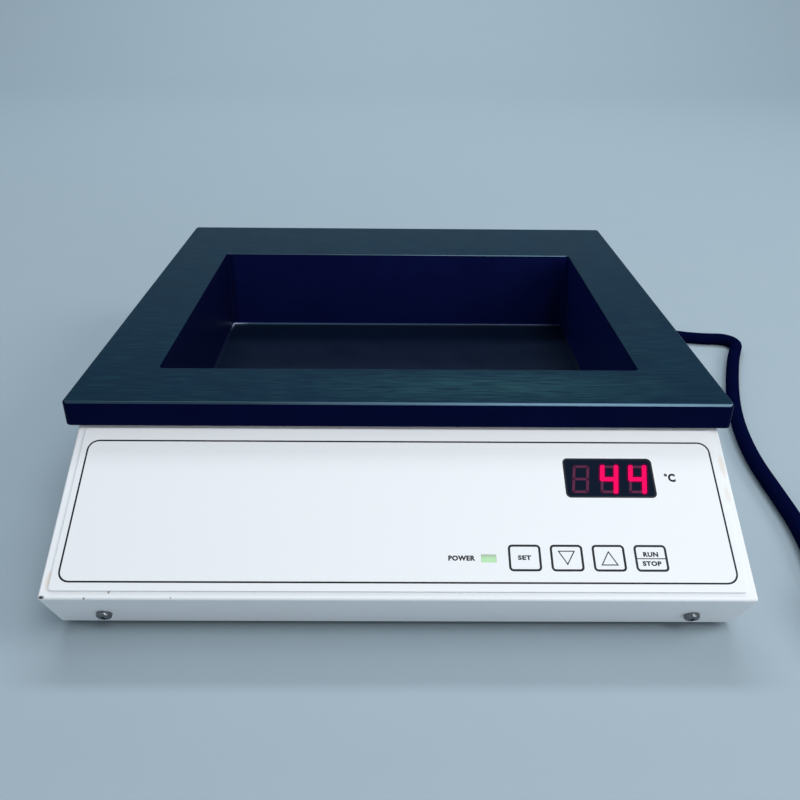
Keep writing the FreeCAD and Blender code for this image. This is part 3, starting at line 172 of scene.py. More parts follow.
@dataclass(frozen=True)
class Finish:
    """A surface finish with two close colours, a pattern between them and a fine relief."""
    name: str
    colour: str
    shade: str
    roughness: float
    pattern: Pattern = Pattern.GRAIN
    pattern_mm: float = 1.0
    relief_mm: float = 0.02
    metallic: float = 0.0
    ior: float = 1.5
    spread: float = 0.06
    specular: float = 0.5
    tint: str = "#FFFFFF"
    marks: tuple[Mark, ...] = ()

    def coordinates(self, tree: bpy.types.NodeTree) -> bpy.types.NodeSocket:
        """Adds Object coordinates, stretched along X for a brushed finish.

        Args:
            tree: The material's node tree.

        Returns:
            The coordinates.
        """
        place = add_node(tree, "ShaderNodeTexCoord").outputs["Object"]
        if self.pattern is not Pattern.BRUSHED:
            return place
        return add_node(tree, "ShaderNodeMapping", sockets={0: place, "Scale": BRUSH_STRETCH}).outputs[0]

    def texture(self, tree: bpy.types.NodeTree) -> bpy.types.NodeSocket:
        """Adds the pattern's texture.

        Args:
            tree: The material's node tree.

        Returns:
            The pattern's grey values.
        """
        place = self.coordinates(tree)
        scale = per_metre(self.pattern_mm)
        if self.pattern is Pattern.WEAVE:
            across, along = [
                add_node(tree, "ShaderNodeTexWave", {"bands_direction": way},
                         {0: place, "Scale": scale / WAVE_FINENESS}).outputs["Fac"] for way in "XZ"]
            threads = add_node(tree, "ShaderNodeMath", {"operation": "MAXIMUM"}, {0: across, 1: along})
            return threads.outputs[0]
        detail = 5.0 if self.pattern is Pattern.CLOUDS else 2.0
        return add_node(tree, "ShaderNodeTexNoise", sockets={
            "Vector": place, "Scale": scale, "Detail": detail, "Roughness": NOISE_ROUGHNESS}).outputs["Fac"]

    def shader(self, tree: bpy.types.NodeTree, grey: bpy.types.NodeSocket) -> bpy.types.Node:
        """Adds the finish's main shader.

        Args:
            tree: The material's node tree.
            grey: The pattern's grey values.

        Returns:
            The shader.
        """
        colour = add_node(tree, "ShaderNodeMix", {"data_type": "RGBA"},
                          {0: grey, 6: linear(self.shade), 7: linear(self.colour)}).outputs[2]
        for mark in self.marks:
            colour = mark.over(tree, colour)
        rough = add_node(tree, "ShaderNodeMapRange", sockets={
            0: grey, 3: self.roughness - self.spread, 4: self.roughness + self.spread})
        bump = add_node(tree, "ShaderNodeBump", sockets={
            "Strength": BUMP_STRENGTH, "Distance": self.relief_mm * MM, "Height": grey})
        return add_node(tree, "ShaderNodeBsdfPrincipled", sockets={
            "Base Color": colour, "Roughness": rough.outputs[0], "Metallic": self.metallic,
            "IOR": self.ior, "Specular IOR Level": self.specular, "Specular Tint": linear(self.tint),
            "Normal": bump.outputs[0]})

    def material(self) -> bpy.types.Material:
        """Makes the material once and gives it again when asked again.

        Returns:
            The material.
        """
        made = bpy.data.materials.get(self.name)
        if made is not None:
            return made
        made = bpy.data.materials.new(self.name)
        made.use_nodes = True
        made.node_tree.nodes.clear()
        grey = self.texture(made.node_tree)
        surface = self.shader(made.node_tree, grey)
        add_node(made.node_tree, "ShaderNodeOutputMaterial", sockets={0: surface.outputs[0]})
        return made


@dataclass(frozen=True)
class LitFinish(Finish):
    """A finish that glows, such as a lit segment or a lamp's lens."""
    light: str = "#FFFFFF"
    glow: float = 1.0

    def shader(self, tree: bpy.types.NodeTree, grey: bpy.types.NodeSocket) -> bpy.types.Node:
        """Adds the finish's shader with its glow.

        Args:
            tree: The material's node tree.
            grey: The pattern's grey values.

        Returns:
            The shader.
        """
        shader = super().shader(tree, grey)
        shader.inputs["Emission Color"].default_value = linear(self.light)
        shader.inputs["Emission Strength"].default_value = self.glow
        return shader


@dataclass(frozen=True)
class LensFinish(LitFinish):
    """A lamp's diffusing lens, whose upper half is duller than its lower half."""
    dull: str = "#FFFFFF"
    middle_z: float = 38.6
    fade: float = 0.35

    def shader(self, tree: bpy.types.NodeTree, grey: bpy.types.NodeSocket) -> bpy.types.Node:
        """Adds the lens's shader, whose light fades with height.

        Args:
            tree: The material's node tree.
            grey: The pattern's grey values.

        Returns:
            The shader.
        """
        shader = super().shader(tree, grey)
        place = add_node(tree, "ShaderNodeTexCoord").outputs["Object"]
        height = add_node(tree, "ShaderNodeSeparateXYZ", sockets={0: place}).outputs["Z"]
        share = add_node(tree, "ShaderNodeMapRange", sockets={
            0: height, 1: (self.middle_z - self.fade) * MM, 2: (self.middle_z + self.fade) * MM}).outputs[0]
        light = add_node(tree, "ShaderNodeMix", {"data_type": "RGBA"},
                         {0: share, 6: linear(self.light), 7: linear(self.dull)})
        tree.links.new(light.outputs[2], shader.inputs["Emission Color"])
        return shader


@dataclass(frozen=True)
class CastingFinish(Finish):
    """Dyed casting whose flat top is coloured paler than its walls: a painted sheen, with wiping lines and
    a worn patch before the well.
    """
    # Paler colours of the top face: a painted sheen that stands in for the light it mirrors
    top_sheen: str = "#092639"
    top_sheen_shade: str = "#061C2D"
    worn: str = "#1F424A"
    top_mm: float = 82.5
    wiping_mm: float = 0.8
    wiping_stretch: tuple[float, float, float] = (0.05, 1, 1)
    wiping_range: tuple[float, float] = (0.45, 0.75)
    wiping_share: float = 0.5
    broken_range: tuple[float, float] = (0.38, 0.66)
    broken_share: tuple[float, float] = (0.1, 1.5)
    worn_middle: tuple[float, float, float] = (45.0, -88.0, 82.5)
    worn_size: tuple[float, float, float] = (95.0, 20.0, 20.0)
    top_band: tuple[float, float] = (0.35, 0.05)

    def sheened_worn_top(self, tree: bpy.types.NodeTree, place: bpy.types.NodeSocket,
                      grey: bpy.types.NodeSocket) -> bpy.types.NodeSocket:
        """Adds the top's colour: a painted sheen in soft patches, fine wiping lines along X and one worn
        patch.

        Args:
            tree: The material's node tree.
            place: The place on the piece.
            grey: The pattern's grey values.

        Returns:
            The colour.
        """
        patches = add_node(tree, "ShaderNodeMix", {"data_type": "RGBA"},
                           {0: grey, 6: linear(self.top_sheen_shade), 7: linear(self.top_sheen)}).outputs[2]
        along = add_node(tree, "ShaderNodeMapping", sockets={
            0: place, "Scale": self.wiping_stretch}).outputs[0]
        lines = add_node(tree, "ShaderNodeTexNoise", sockets={
            "Vector": along, "Scale": per_metre(self.wiping_mm), "Detail": 2.0}).outputs["Fac"]
        low, high = self.wiping_range
        shares = add_node(tree, "ShaderNodeMapRange", sockets={
            0: lines, 1: low, 2: high, 3: 0.0, 4: self.wiping_share})
        wiped = add_node(tree, "ShaderNodeMix", {"data_type": "RGBA"},
                         {0: shares.outputs[0], 6: patches, 7: linear(self.worn)}).outputs[2]
        centred = add_node(tree, "ShaderNodeMapping", {"vector_type": "TEXTURE"}, {
            0: place, "Location": Vector(self.worn_middle) * MM,
            "Scale": Vector(self.worn_size) * MM}).outputs[0]
        ball = add_node(tree, "ShaderNodeTexGradient", {"gradient_type": "SPHERICAL"}, {0: centred})
        (low, high), (least, most) = self.broken_range, self.broken_share
        broken = add_node(tree, "ShaderNodeMapRange", sockets={
            0: lines, 1: low, 2: high, 3: least, 4: most})
        soft = add_node(tree, "ShaderNodeMath", {"operation": "MULTIPLY"},
                        {0: ball.outputs["Fac"], 1: broken.outputs[0]})
        return add_node(tree, "ShaderNodeMix", {"data_type": "RGBA"},
                        {0: soft.outputs[0], 6: wiped, 7: linear(self.worn)}).outputs[2]

    def shader(self, tree: bpy.types.NodeTree, grey: bpy.types.NodeSocket) -> bpy.types.Node:
        """Adds the finish's shader, with the top's paler colour, a painted sheen with wear on it, wherever
        the height is that of the top.

        Args:
            tree: The material's node tree.
            grey: The pattern's grey values.

        Returns:
            The shader.
        """
        shader = super().shader(tree, grey)
        walls = shader.inputs["Base Color"].links[0].from_socket
        place = self.coordinates(tree)
        height = add_node(tree, "ShaderNodeSeparateXYZ", sockets={0: place}).outputs["Z"]
        start, end = [(self.top_mm - depth) * MM for depth in self.top_band]
        # Painted sheen: the top face gets the paler colour
        on_top = add_node(tree, "ShaderNodeMapRange", sockets={0: height, 1: start, 2: end}).outputs[0]
        both = add_node(tree, "ShaderNodeMix", {"data_type": "RGBA"},
                        {0: on_top, 6: walls, 7: self.sheened_worn_top(tree, place, grey)})
        tree.links.new(both.outputs[2], shader.inputs["Base Color"])
        return shader


# Hard-anodised cast aluminium: a dyed oxide layer, near black with soft grey-blue patches and a dull sheen;
# its top face is coloured paler, a painted sheen
ANODISED = CastingFinish("dark_anodised_casting", "#040A31", "#030622", 0.36, Pattern.CLOUDS, 26.0, 0.05,
                         ior=1.3, specular=0.09, tint="#5F8FD0")
# The same oxide inside the well, coloured paler than outside as painted light in the deep well: bluer on
# the walls, greyer on the floor
WELL_WALL = Finish("well_wall_oxide", "#0C1443", "#080D36", 0.4, Pattern.CLOUDS, 22.0, 0.03,
                   specular=0.2, tint="#6C84D8", marks=(
                       # Painted shade darkens the left wall and painted light brightens the right wall
                       Mark((-116.0, 18.0, 57.0), (6.0, 300.0, 120.0), "#03061F", 0.8),
                       Mark((116.0, 18.0, 57.0), (6.0, 300.0, 120.0), "#0D1A56", 0.8)))
WELL_FLOOR = Finish("well_floor_oxide", "#091526", "#060F1E", 0.34, Pattern.CLOUDS, 18.0, 0.03,
                    specular=0.3, tint="#7F9FD8")
# Round between the well's floor and back wall, with a painted highlight: a bright flare in its left corner
# and a paler band that fades along it
WELL_ROUND_HIGHLIGHT = Finish("well_round_painted_highlight", "#0A1228", "#080F22", 0.3, Pattern.CLOUDS, 9.0, 0.01,
                    specular=0.4, tint="#9FB6DC", marks=(
                        Mark((-112.0, 105.0, 33.0), (190.0, 12.0, 12.0), "#3C5468", 0.9, 0.9),
                        Mark((-113.0, 105.0, 33.0), (9.0, 7.0, 9.0), "#8E9AB4", 1.0, 0.8)))
# The oxide on the ridges of the rounded top edges: paler and smoother than the faces, partly worn thin by
# hands and slides and partly a painted highlight
EDGE_WEAR_AND_HIGHLIGHT = Finish("anodised_edge_wear_and_highlight", "#0B2434", "#071B29", 0.34, Pattern.BRUSHED, 1.2, 0.02,
                   specular=0.8, tint="#BFDDF2", marks=(
                       # Painted highlight: the edges grow paler towards the right, where the lights stand
                       Mark((100.0, 0.0, 82.0), (170.0, 600.0, 40.0), "#5E8096", 0.9, 0.9),))
# Bare dark metal in a chip, old grime in a dot, a scuff and a yellowed edge
CHIP, GRIME, RUBBED_PALE, TEA_STAIN = "#14110E", "#4A4B45", "#F2F4F5", "#CDB79B"
# Powder-coated steel sheet: white, with the slight orange peel of a baked coat and the marks of its use
POWDER_COAT = Finish("baked_powder_coat", "#E6E8EA", "#DFE2E5", 0.5, Pattern.GRAIN, 1.1, 0.02,
                     specular=0.3, marks=(
                         Mark((-143.4, -172.0, 29.4), (1.8, 1.6, 1.1), CHIP),
                         Mark((-126.3, -172.0, 29.0), (0.6, 0.9, 1.0), CHIP, 0.9),
                         Mark((-116.8, -169.5, 30.4), (0.6, 0.9, 0.7), GRIME, 0.7),
                         Mark((-91.7, -171.6, 29.3), (0.5, 0.9, 0.7), GRIME, 0.5),
                         Mark((-120.1, -172.0, 21.2), (0.7, 0.9, 0.6), GRIME, 0.4),
                         Mark((71.5, -172.0, 20.8), (0.6, 0.8, 0.6), CHIP, 0.8),
                         Mark((-118.0, -172.0, 25.0), (6.0, 0.6, 0.9), RUBBED_PALE, 0.7),
                         Mark((129.7, -172.0, 21.5), (4.5, 0.6, 0.4), GRIME, 0.5),
                         Mark((129.2, -172.0, 19.6), (3.5, 0.6, 0.35), TEA_STAIN, 0.7),
                         Mark((-141.8, -165.4, 32.7), (1.6, 6.0, 4.0), TEA_STAIN, 0.4),
                         Mark((142.9, -119.2, 59.4), (1.6, 9.0, 5.0), TEA_STAIN, 0.35),
                         Mark((142.2, -131.3, 52.4), (1.4, 6.0, 4.0), TEA_STAIN, 0.3)))
# Back-printed polyester film: smooth satin, nearly the cover's own white
FILM = Finish("satin_polyester_film", "#E4E6E8", "#E0E3E5", 0.45, Pattern.GRAIN, 0.8, 0.006, specular=0.3)
# Screen-printed ink under the film's satin face
BLACK_INK = Finish("black_screen_ink", "#03060F", "#070B16", 0.45, Pattern.GRAIN, 0.6, 0.004, specular=0.25)
GREY_INK = Finish("grey_screen_ink", "#0E1420", "#171D28", 0.45, Pattern.GRAIN, 0.6, 0.004, specular=0.25)
# Dyed acrylic over the display: near black, glossy
WINDOW = Finish("tinted_acrylic", "#0D1422", "#0A121A", 0.16, Pattern.CLOUDS, 9.0, 0.002, spread=0.02,
                specular=0.15, tint="#6F90D8")
# Segments of a red display, unlit and lit, seen through the tint, and the light that the tint scatters
UNLIT = Finish("unlit_segment", "#5A2040", "#4C1A36", 0.5, Pattern.GRAIN, 1.0, 0.002, specular=0.1)
LIT = LitFinish("lit_segment", "#2A0410", "#24030D", 0.5, Pattern.GRAIN, 1.0, 0.002, specular=0.0,
                light="#FF0F64", glow=1.0)
SCATTER = LitFinish("scattered_light", "#16040F", "#12030C", 0.5, Pattern.GRAIN, 1.0, 0.002, specular=0.0,
                    light="#4E0630", glow=1.0)
# Diffusing lens of a green bar lamp, lit
GREEN_LENS = LensFinish("green_lamp_lens", "#A5B5A2", "#9BAC98", 0.4, Pattern.GRAIN, 0.6, 0.004,
                        specular=0.2, light="#78C868", dull="#3E5A3E", glow=0.55)
# White pad-printed paint of the rocker's marks
MARK_PAINT = Finish("white_pad_print", "#E4E6E6", "#D6D9DA", 0.45, Pattern.GRAIN, 0.5, 0.004)
# Satin PVC sheath of a mains lead
SHEATH = Finish("satin_pvc_sheath", "#050A2E", "#040822", 0.5, Pattern.CLOUDS, 6.0, 0.02, specular=0.0)

# The other pieces' finishes, by the record's material slot
SLOT_FINISHES = {
    "black_anodised": ANODISED,
    "white_powder_coat": POWDER_COAT,
    "white_film": FILM,
    "tinted_window": WINDOW,
    "green_light": GREEN_LENS,
    "cord_rubber": SHEATH,
    "silicone_grey": Finish("grey_silicone", "#8C9094", "#84888C", 0.6, Pattern.GRAIN, 1.5, 0.02),
    "zinc_steel": Finish("bright_zinc_plate", "#C9CED3", "#AEB4BA", 0.3, Pattern.CLOUDS, 3.0, 0.01,
                         metallic=1.0),
    "zinc_sheet": Finish("galvanised_sheet", "#B9C0C6", "#9FA7AE", 0.38, Pattern.CLOUDS, 9.0, 0.02,
                         metallic=1.0),
    "nickel_steel": Finish("nickel_plate", "#8F9092", "#5E6063", 0.2, Pattern.BRUSHED, 0.6, 0.005,
                           metallic=1.0),
    "black_rubber": Finish("moulded_rubber", "#15181A", "#0F1113", 0.68, Pattern.GRAIN, 1.2, 0.04),
    "clear_film": Finish("silvered_circuit_film", "#C8CED2", "#B8BEC2", 0.3, Pattern.GRAIN, 2.0, 0.01),
    "display_grey": Finish("display_moulding", "#1A1C20", "#15171A", 0.5, Pattern.GRAIN, 0.8, 0.01),
    "green_board": Finish("solder_resist", "#14522B", "#0F4423", 0.35, Pattern.WEAVE, 1.2, 0.01),
    "black_plastic": Finish("moulded_nylon", "#16181B", "#101215", 0.5, Pattern.GRAIN, 0.9, 0.02),
    "silicone_orange": Finish("orange_silicone_mat", "#A8481D", "#963D17", 0.55, Pattern.WEAVE, 1.6, 0.03),
    "mill_aluminium": Finish("rolled_aluminium", "#C6CACD", "#B0B4B8", 0.36, Pattern.BRUSHED, 0.8, 0.01,
                             metallic=1.0),
    "mineral_felt": Finish("pressed_felt", "#CFCAB9", "#B9B3A0", 0.9, Pattern.CLOUDS, 2.4, 0.3),
    "nylon": Finish("natural_nylon", "#E2E1D6", "#D8D6CA", 0.45, Pattern.GRAIN, 1.0, 0.01),
    "green_plastic": Finish("green_polyamide", "#1F6B38", "#195C30", 0.45, Pattern.GRAIN, 0.8, 0.02),
    "capacitor_sleeve": Finish("shrink_sleeve", "#1B2450", "#151D43", 0.3, Pattern.GRAIN, 2.0, 0.01),
    "fuse_glass": Finish("fuse_tube", "#C9D2D4", "#B9C2C4", 0.12, Pattern.GRAIN, 3.0, 0.002),
    "black_gloss": Finish("polished_rocker", "#0E0F11", "#0A0B0D", 0.2, Pattern.GRAIN, 2.0, 0.003),
    "green_lead": Finish("green_insulation", "#4E8F1E", "#437F18", 0.35, Pattern.GRAIN, 1.0, 0.005),
    "brown_lead": Finish("brown_insulation", "#4A2714", "#3D1F0F", 0.35, Pattern.GRAIN, 1.0, 0.005),
    "white_lead": Finish("white_insulation", "#DEDED6", "#D2D2CA", 0.35, Pattern.GRAIN, 1.0, 0.005),
    "grey_lead": Finish("grey_insulation", "#747A80", "#686E74", 0.35, Pattern.GRAIN, 1.0, 0.005),
    "black_strap": Finish("woven_strap", "#191B1D", "#0E0F10", 0.85, Pattern.WEAVE, 1.4, 0.12),
    "brass_nickel": Finish("nickelled_brass", "#C9BE9F", "#B5A98A", 0.25, Pattern.BRUSHED, 0.7, 0.005,
                           metallic=1.0),
}


def deselect() -> None:
    """Deselects every object."""
    bpy.ops.object.select_all(action="DESELECT")


def make_active(piece: bpy.types.Object) -> None:
    """Selects one object alone and makes it the active one."""
    deselect()
    piece.select_set(True)
    bpy.context.view_layer.objects.active = piece


def settle(piece: bpy.types.Object, name: str) -> bpy.types.Object:
    """Names a piece and moves its place, turn and size into its mesh.

    Args:
        piece: The object.
        name: Its name from now on.

    Returns:
        The same object.
    """
    piece.name = name
    piece.data.name = name
    make_active(piece)
    bpy.ops.object.transform_apply(location=True, rotation=True, scale=True)
    return piece


def start_block(name: str, low: Vector, high: Vector) -> bpy.types.Object:
    """Adds a block between two corners.

    Args:
        name: The piece's name.
        low: Lowest corner, in metres.
        high: Highest corner, in metres.

    Returns:
        The new object.
    """
    deselect()
    bpy.ops.mesh.primitive_cube_add(size=1, location=(Vector(low) + Vector(high)) / 2)
    block = bpy.context.object
    block.scale = Vector(high) - Vector(low)
    return settle(block, name)


def start_patch(name: str, centre: tuple[float, float], size: tuple[float, float]) -> bpy.types.Object:
    """Adds a flat patch on the XY plane.

    Args:
        name: The piece's name.
        centre: Its middle, in millimetres.
        size: Its width and height, in millimetres.

    Returns:
        The new object.
    """
    deselect()
    bpy.ops.mesh.primitive_plane_add(size=1, location=(centre[0] * MM, centre[1] * MM, 0))
    patch = bpy.context.object
    patch.scale = (size[0] * MM, size[1] * MM, 1)
    return settle(patch, name)


@contextmanager
def editing(piece: bpy.types.Object) -> Iterator[None]:
    """Edit mode on one piece, with nothing selected at the start.

    Args:
        piece: The piece to work on.

    Yields:
        Nothing. The piece is in edit mode until the block ends.
    """
    make_active(piece)
    bpy.ops.object.mode_set(mode="EDIT")
    bpy.ops.mesh.select_all(action="DESELECT")
    yield
    bpy.ops.object.mode_set(mode="OBJECT")


def pick_faces(piece: bpy.types.Object, test: Callable[[bmesh.types.BMFace], bool]) -> None:
    """Selects only the faces that pass a test, in edit mode.

    Args:
        piece: The piece in edit mode.
        test: Says whether one of its faces is wanted.
    """
    bpy.ops.mesh.select_mode(type="FACE")
    bpy.ops.mesh.select_all(action="DESELECT")
    mesh = bmesh.from_edit_mesh(piece.data)
    for face in mesh.faces:
        face.select_set(test(face))
    bmesh.update_edit_mesh(piece.data)


def pick_edges(piece: bpy.types.Object, test: Callable[[bmesh.types.BMEdge], bool]) -> None:
    """Selects only the edges that pass a test, in edit mode.

    Args:
        piece: The piece in edit mode.
        test: Says whether one of its edges is wanted.
    """
    bpy.ops.mesh.select_mode(type="EDGE")
    bpy.ops.mesh.select_all(action="DESELECT")
    mesh = bmesh.from_edit_mesh(piece.data)
    for edge in mesh.edges:
        edge.select_set(test(edge))
    bmesh.update_edit_mesh(piece.data)


def is_sharp(edge: bmesh.types.BMEdge) -> bool:
    """Says whether an edge's two faces meet at a clear angle."""
    return len(edge.link_faces) == 2 and edge.calc_face_angle() > SHARP


def near(value: float, target: float) -> bool:
    """Says whether two lengths in metres are the same."""
    return abs(value - target) < TINY


def middle(edge: bmesh.types.BMEdge) -> Vector:
    """Middle of an edge."""
    return (edge.verts[0].co + edge.verts[1].co) / 2


def extrude_to(offset: tuple[float, float, float]) -> None:
    """Extrudes the selected faces as one region by an offset in metres."""
    bpy.ops.mesh.extrude_region_move(TRANSFORM_OT_translate={"value": offset})


def bevel(width_mm: float, segments: int = 4) -> None:
    """Rounds the selected edges."""
    bpy.ops.mesh.bevel(offset=width_mm * MM, segments=segments, affect="EDGES", clamp_overlap=True)


def apply_modifier(piece: bpy.types.Object, kind: str, settings: dict) -> None:
    """Adds one modifier to a piece and applies it.

    Args:
        piece: The piece.
        kind: The modifier's type.
        settings: Its attributes.
    """
    make_active(piece)
    modifier = piece.modifiers.new(kind.lower(), kind)
    for name, value in settings.items():
        setattr(modifier, name, value)
    bpy.ops.object.modifier_apply(modifier=modifier.name)


def smooth(piece: bpy.types.Object) -> None:
    """Smooths rounded edges and keeps flat faces flat."""
    make_active(piece)
    bpy.ops.object.shade_smooth_by_angle(angle=SHARP)
    apply_modifier(piece, "WEIGHTED_NORMAL", {"keep_sharp": True, "weight": 100})


FaceTest = Callable[[bpy.types.MeshPolygon], bool]


def dress(piece: bpy.types.Object, finish: Finish, body: str = HOUSING,
          areas: tuple[tuple[Finish, FaceTest], ...] = ()) -> bpy.types.Object:
    """Gives a new piece its finish and puts it on its body.

    Args:
        piece: The finished mesh.
        finish: Its finish.
        body: The body that it moves with.
        areas: Finishes of some of its faces, each with the test for them. The first that fits counts.

    Returns:
        The same piece.
    """
    piece.data.materials.clear()
    piece.data.materials.append(finish.material())
    for other, _ in areas:
        piece.data.materials.append(other.material())
    for face in piece.data.polygons:
        face.material_index = next((i + 1 for i, (_, test) in enumerate(areas) if test(face)), 0)
    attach(piece, body)
    log.info("%s: %d faces", piece.name, len(piece.data.polygons))
    return piece


@dataclass
class PhotoCamera:
    """Camera at the photograph's viewing angle, fitted to the rim's, opening's and panel's corners."""
    place_mm: tuple[float, float, float] = (-3.09, -418.27, 250.97)
    turn_deg: tuple[float, float, float] = (61.969, -0.507, -0.323)
    focal_pixels: float = 802.3
    image_pixels: float = 800.0
    sensor_mm: float = 36.0
    nearest: float = 0.01

    def build(self) -> bpy.types.Object:
        """Adds the camera and makes it the scene's.

        Returns:
            The camera.
        """
        data = bpy.data.cameras.new("photo_camera")
        data.sensor_width = self.sensor_mm
        data.lens = self.focal_pixels / self.image_pixels * self.sensor_mm
        data.clip_start = self.nearest
        camera = bpy.data.objects.new("photo_camera", data)
        camera.location = Vector(self.place_mm) * MM
        camera.rotation_euler = Euler([math.radians(a) for a in self.turn_deg])
        bpy.context.scene.collection.objects.link(camera)
        bpy.context.scene.camera = camera
        return camera


@dataclass(frozen=True)
class Lamp:
    """One soft rectangular light, hung and aimed in metres, its power in watts and its colour in sRGB."""
    name: str
    place: tuple[float, float, float]
    size: tuple[float, float]
    power: float
    colour: str = "#FFFFFF"
    aim: tuple[float, float, float] = (0.0, 0.0, 0.06)

    def hang(self) -> bpy.types.Object:
        """Adds the light and aims it.

        Returns:
            The light.
        """
        data = bpy.data.lights.new(self.name, "AREA")
        data.shape = "RECTANGLE"
        data.size, data.size_y = self.size
        data.energy = self.power
        data.color = linear(self.colour)[:3]
        lamp = bpy.data.objects.new(self.name, data)
        lamp.location = self.place
        lamp.rotation_euler = (Vector(self.aim) - Vector(self.place)).to_track_quat("-Z", "Y").to_euler()
        bpy.context.scene.collection.objects.link(lamp)
        return lamp


@dataclass
class Studio:
    """Pale paper sweep, soft lights from the right, front and above, and an even surround."""
    paper: str = "#9CABB4"
    paper_shade: str = "#98A8B1"
    half_width: float = 5.0
    front: float = -5.0
    back: float = 2.4
    height: float = 2.8
    bend: float = 0.8
    surround: str = "#A9B8C1"
    ambient: str = "#D3E3F2"
    ambient_strength: float = 0.28
    lamps: tuple[Lamp, ...] = (
        Lamp("key", (0.44, -0.88, 1.32), (0.6, 0.6), 9.4),
        Lamp("side", (1.7, -0.4, 1.33), (0.75, 0.75), 13.2),
        Lamp("front_fill", (0.75, -1.5, 0.45), (0.8, 0.5), 6.2, "#FCFDFF"),
        Lamp("overhead", (0.2, 0.35, 1.6), (1.6, 1.4), 5.2, "#F4F9FF"),
        Lamp("backdrop_light", (0.0, 1.3, 2.2), (2.4, 0.8), 40.0, "#F4FAFF", (0.0, 2.2, 0.2)))

    def sweep(self) -> bpy.types.Object:
        """Adds the paper floor that curves up into a backdrop.

        Returns:
            The sweep.
        """
        deselect()
        bpy.ops.mesh.primitive_plane_add(size=1, location=(0, (self.front + self.back) / 2, 0))
        paper = bpy.context.object
        paper.scale = (2 * self.half_width, self.back - self.front, 1)
        settle(paper, "paper_sweep")
        with editing(paper):
            pick_edges(paper, lambda e: near(middle(e).y, self.back))
            extrude_to((0, 0, self.height))
            pick_edges(paper, lambda e: near(middle(e).y, self.back) and near(middle(e).z, 0))
            bpy.ops.mesh.bevel(offset=self.bend, segments=16, affect="EDGES")
        make_active(paper)
        bpy.ops.object.shade_smooth()
        matt = Finish("studio_paper", self.paper, self.paper_shade, 0.9, Pattern.CLOUDS, 60.0, 0.05)
        paper.data.materials.append(matt.material())
        return paper

    def surroundings(self) -> bpy.types.World:
        """Makes the even surround: weak as light, and as pale as the paper where it is seen or mirrored.

        Returns:
            The world.
        """
        world = bpy.data.worlds.new("surround")
        world.use_nodes = True
        tree = world.node_tree
        tree.nodes.clear()
        rays = add_node(tree, "ShaderNodeLightPath")
        mirrored = add_node(tree, "ShaderNodeMath", {"operation": "MAXIMUM"},
                            {0: rays.outputs["Is Glossy Ray"], 1: rays.outputs["Is Transmission Ray"]})
        seen = add_node(tree, "ShaderNodeMath", {"operation": "MAXIMUM"},
                        {0: rays.outputs["Is Camera Ray"], 1: mirrored.outputs[0]})
        light = add_node(tree, "ShaderNodeBackground", sockets={
            0: linear(self.ambient), 1: self.ambient_strength})
        shown = add_node(tree, "ShaderNodeBackground", sockets={0: linear(self.surround), 1: 1.0})
        both = add_node(tree, "ShaderNodeMixShader", sockets={
            0: seen.outputs[0], 1: light.outputs[0], 2: shown.outputs[0]})
        add_node(tree, "ShaderNodeOutputWorld", sockets={0: both.outputs[0]})
        return world

    def build(self) -> None:
        """Adds the paper, the lights and the surround."""
        self.sweep()
        for lamp in self.lamps:
            lamp.hang()
        bpy.context.scene.world = self.surroundings()
        bpy.context.scene.view_settings.view_transform = "Standard"


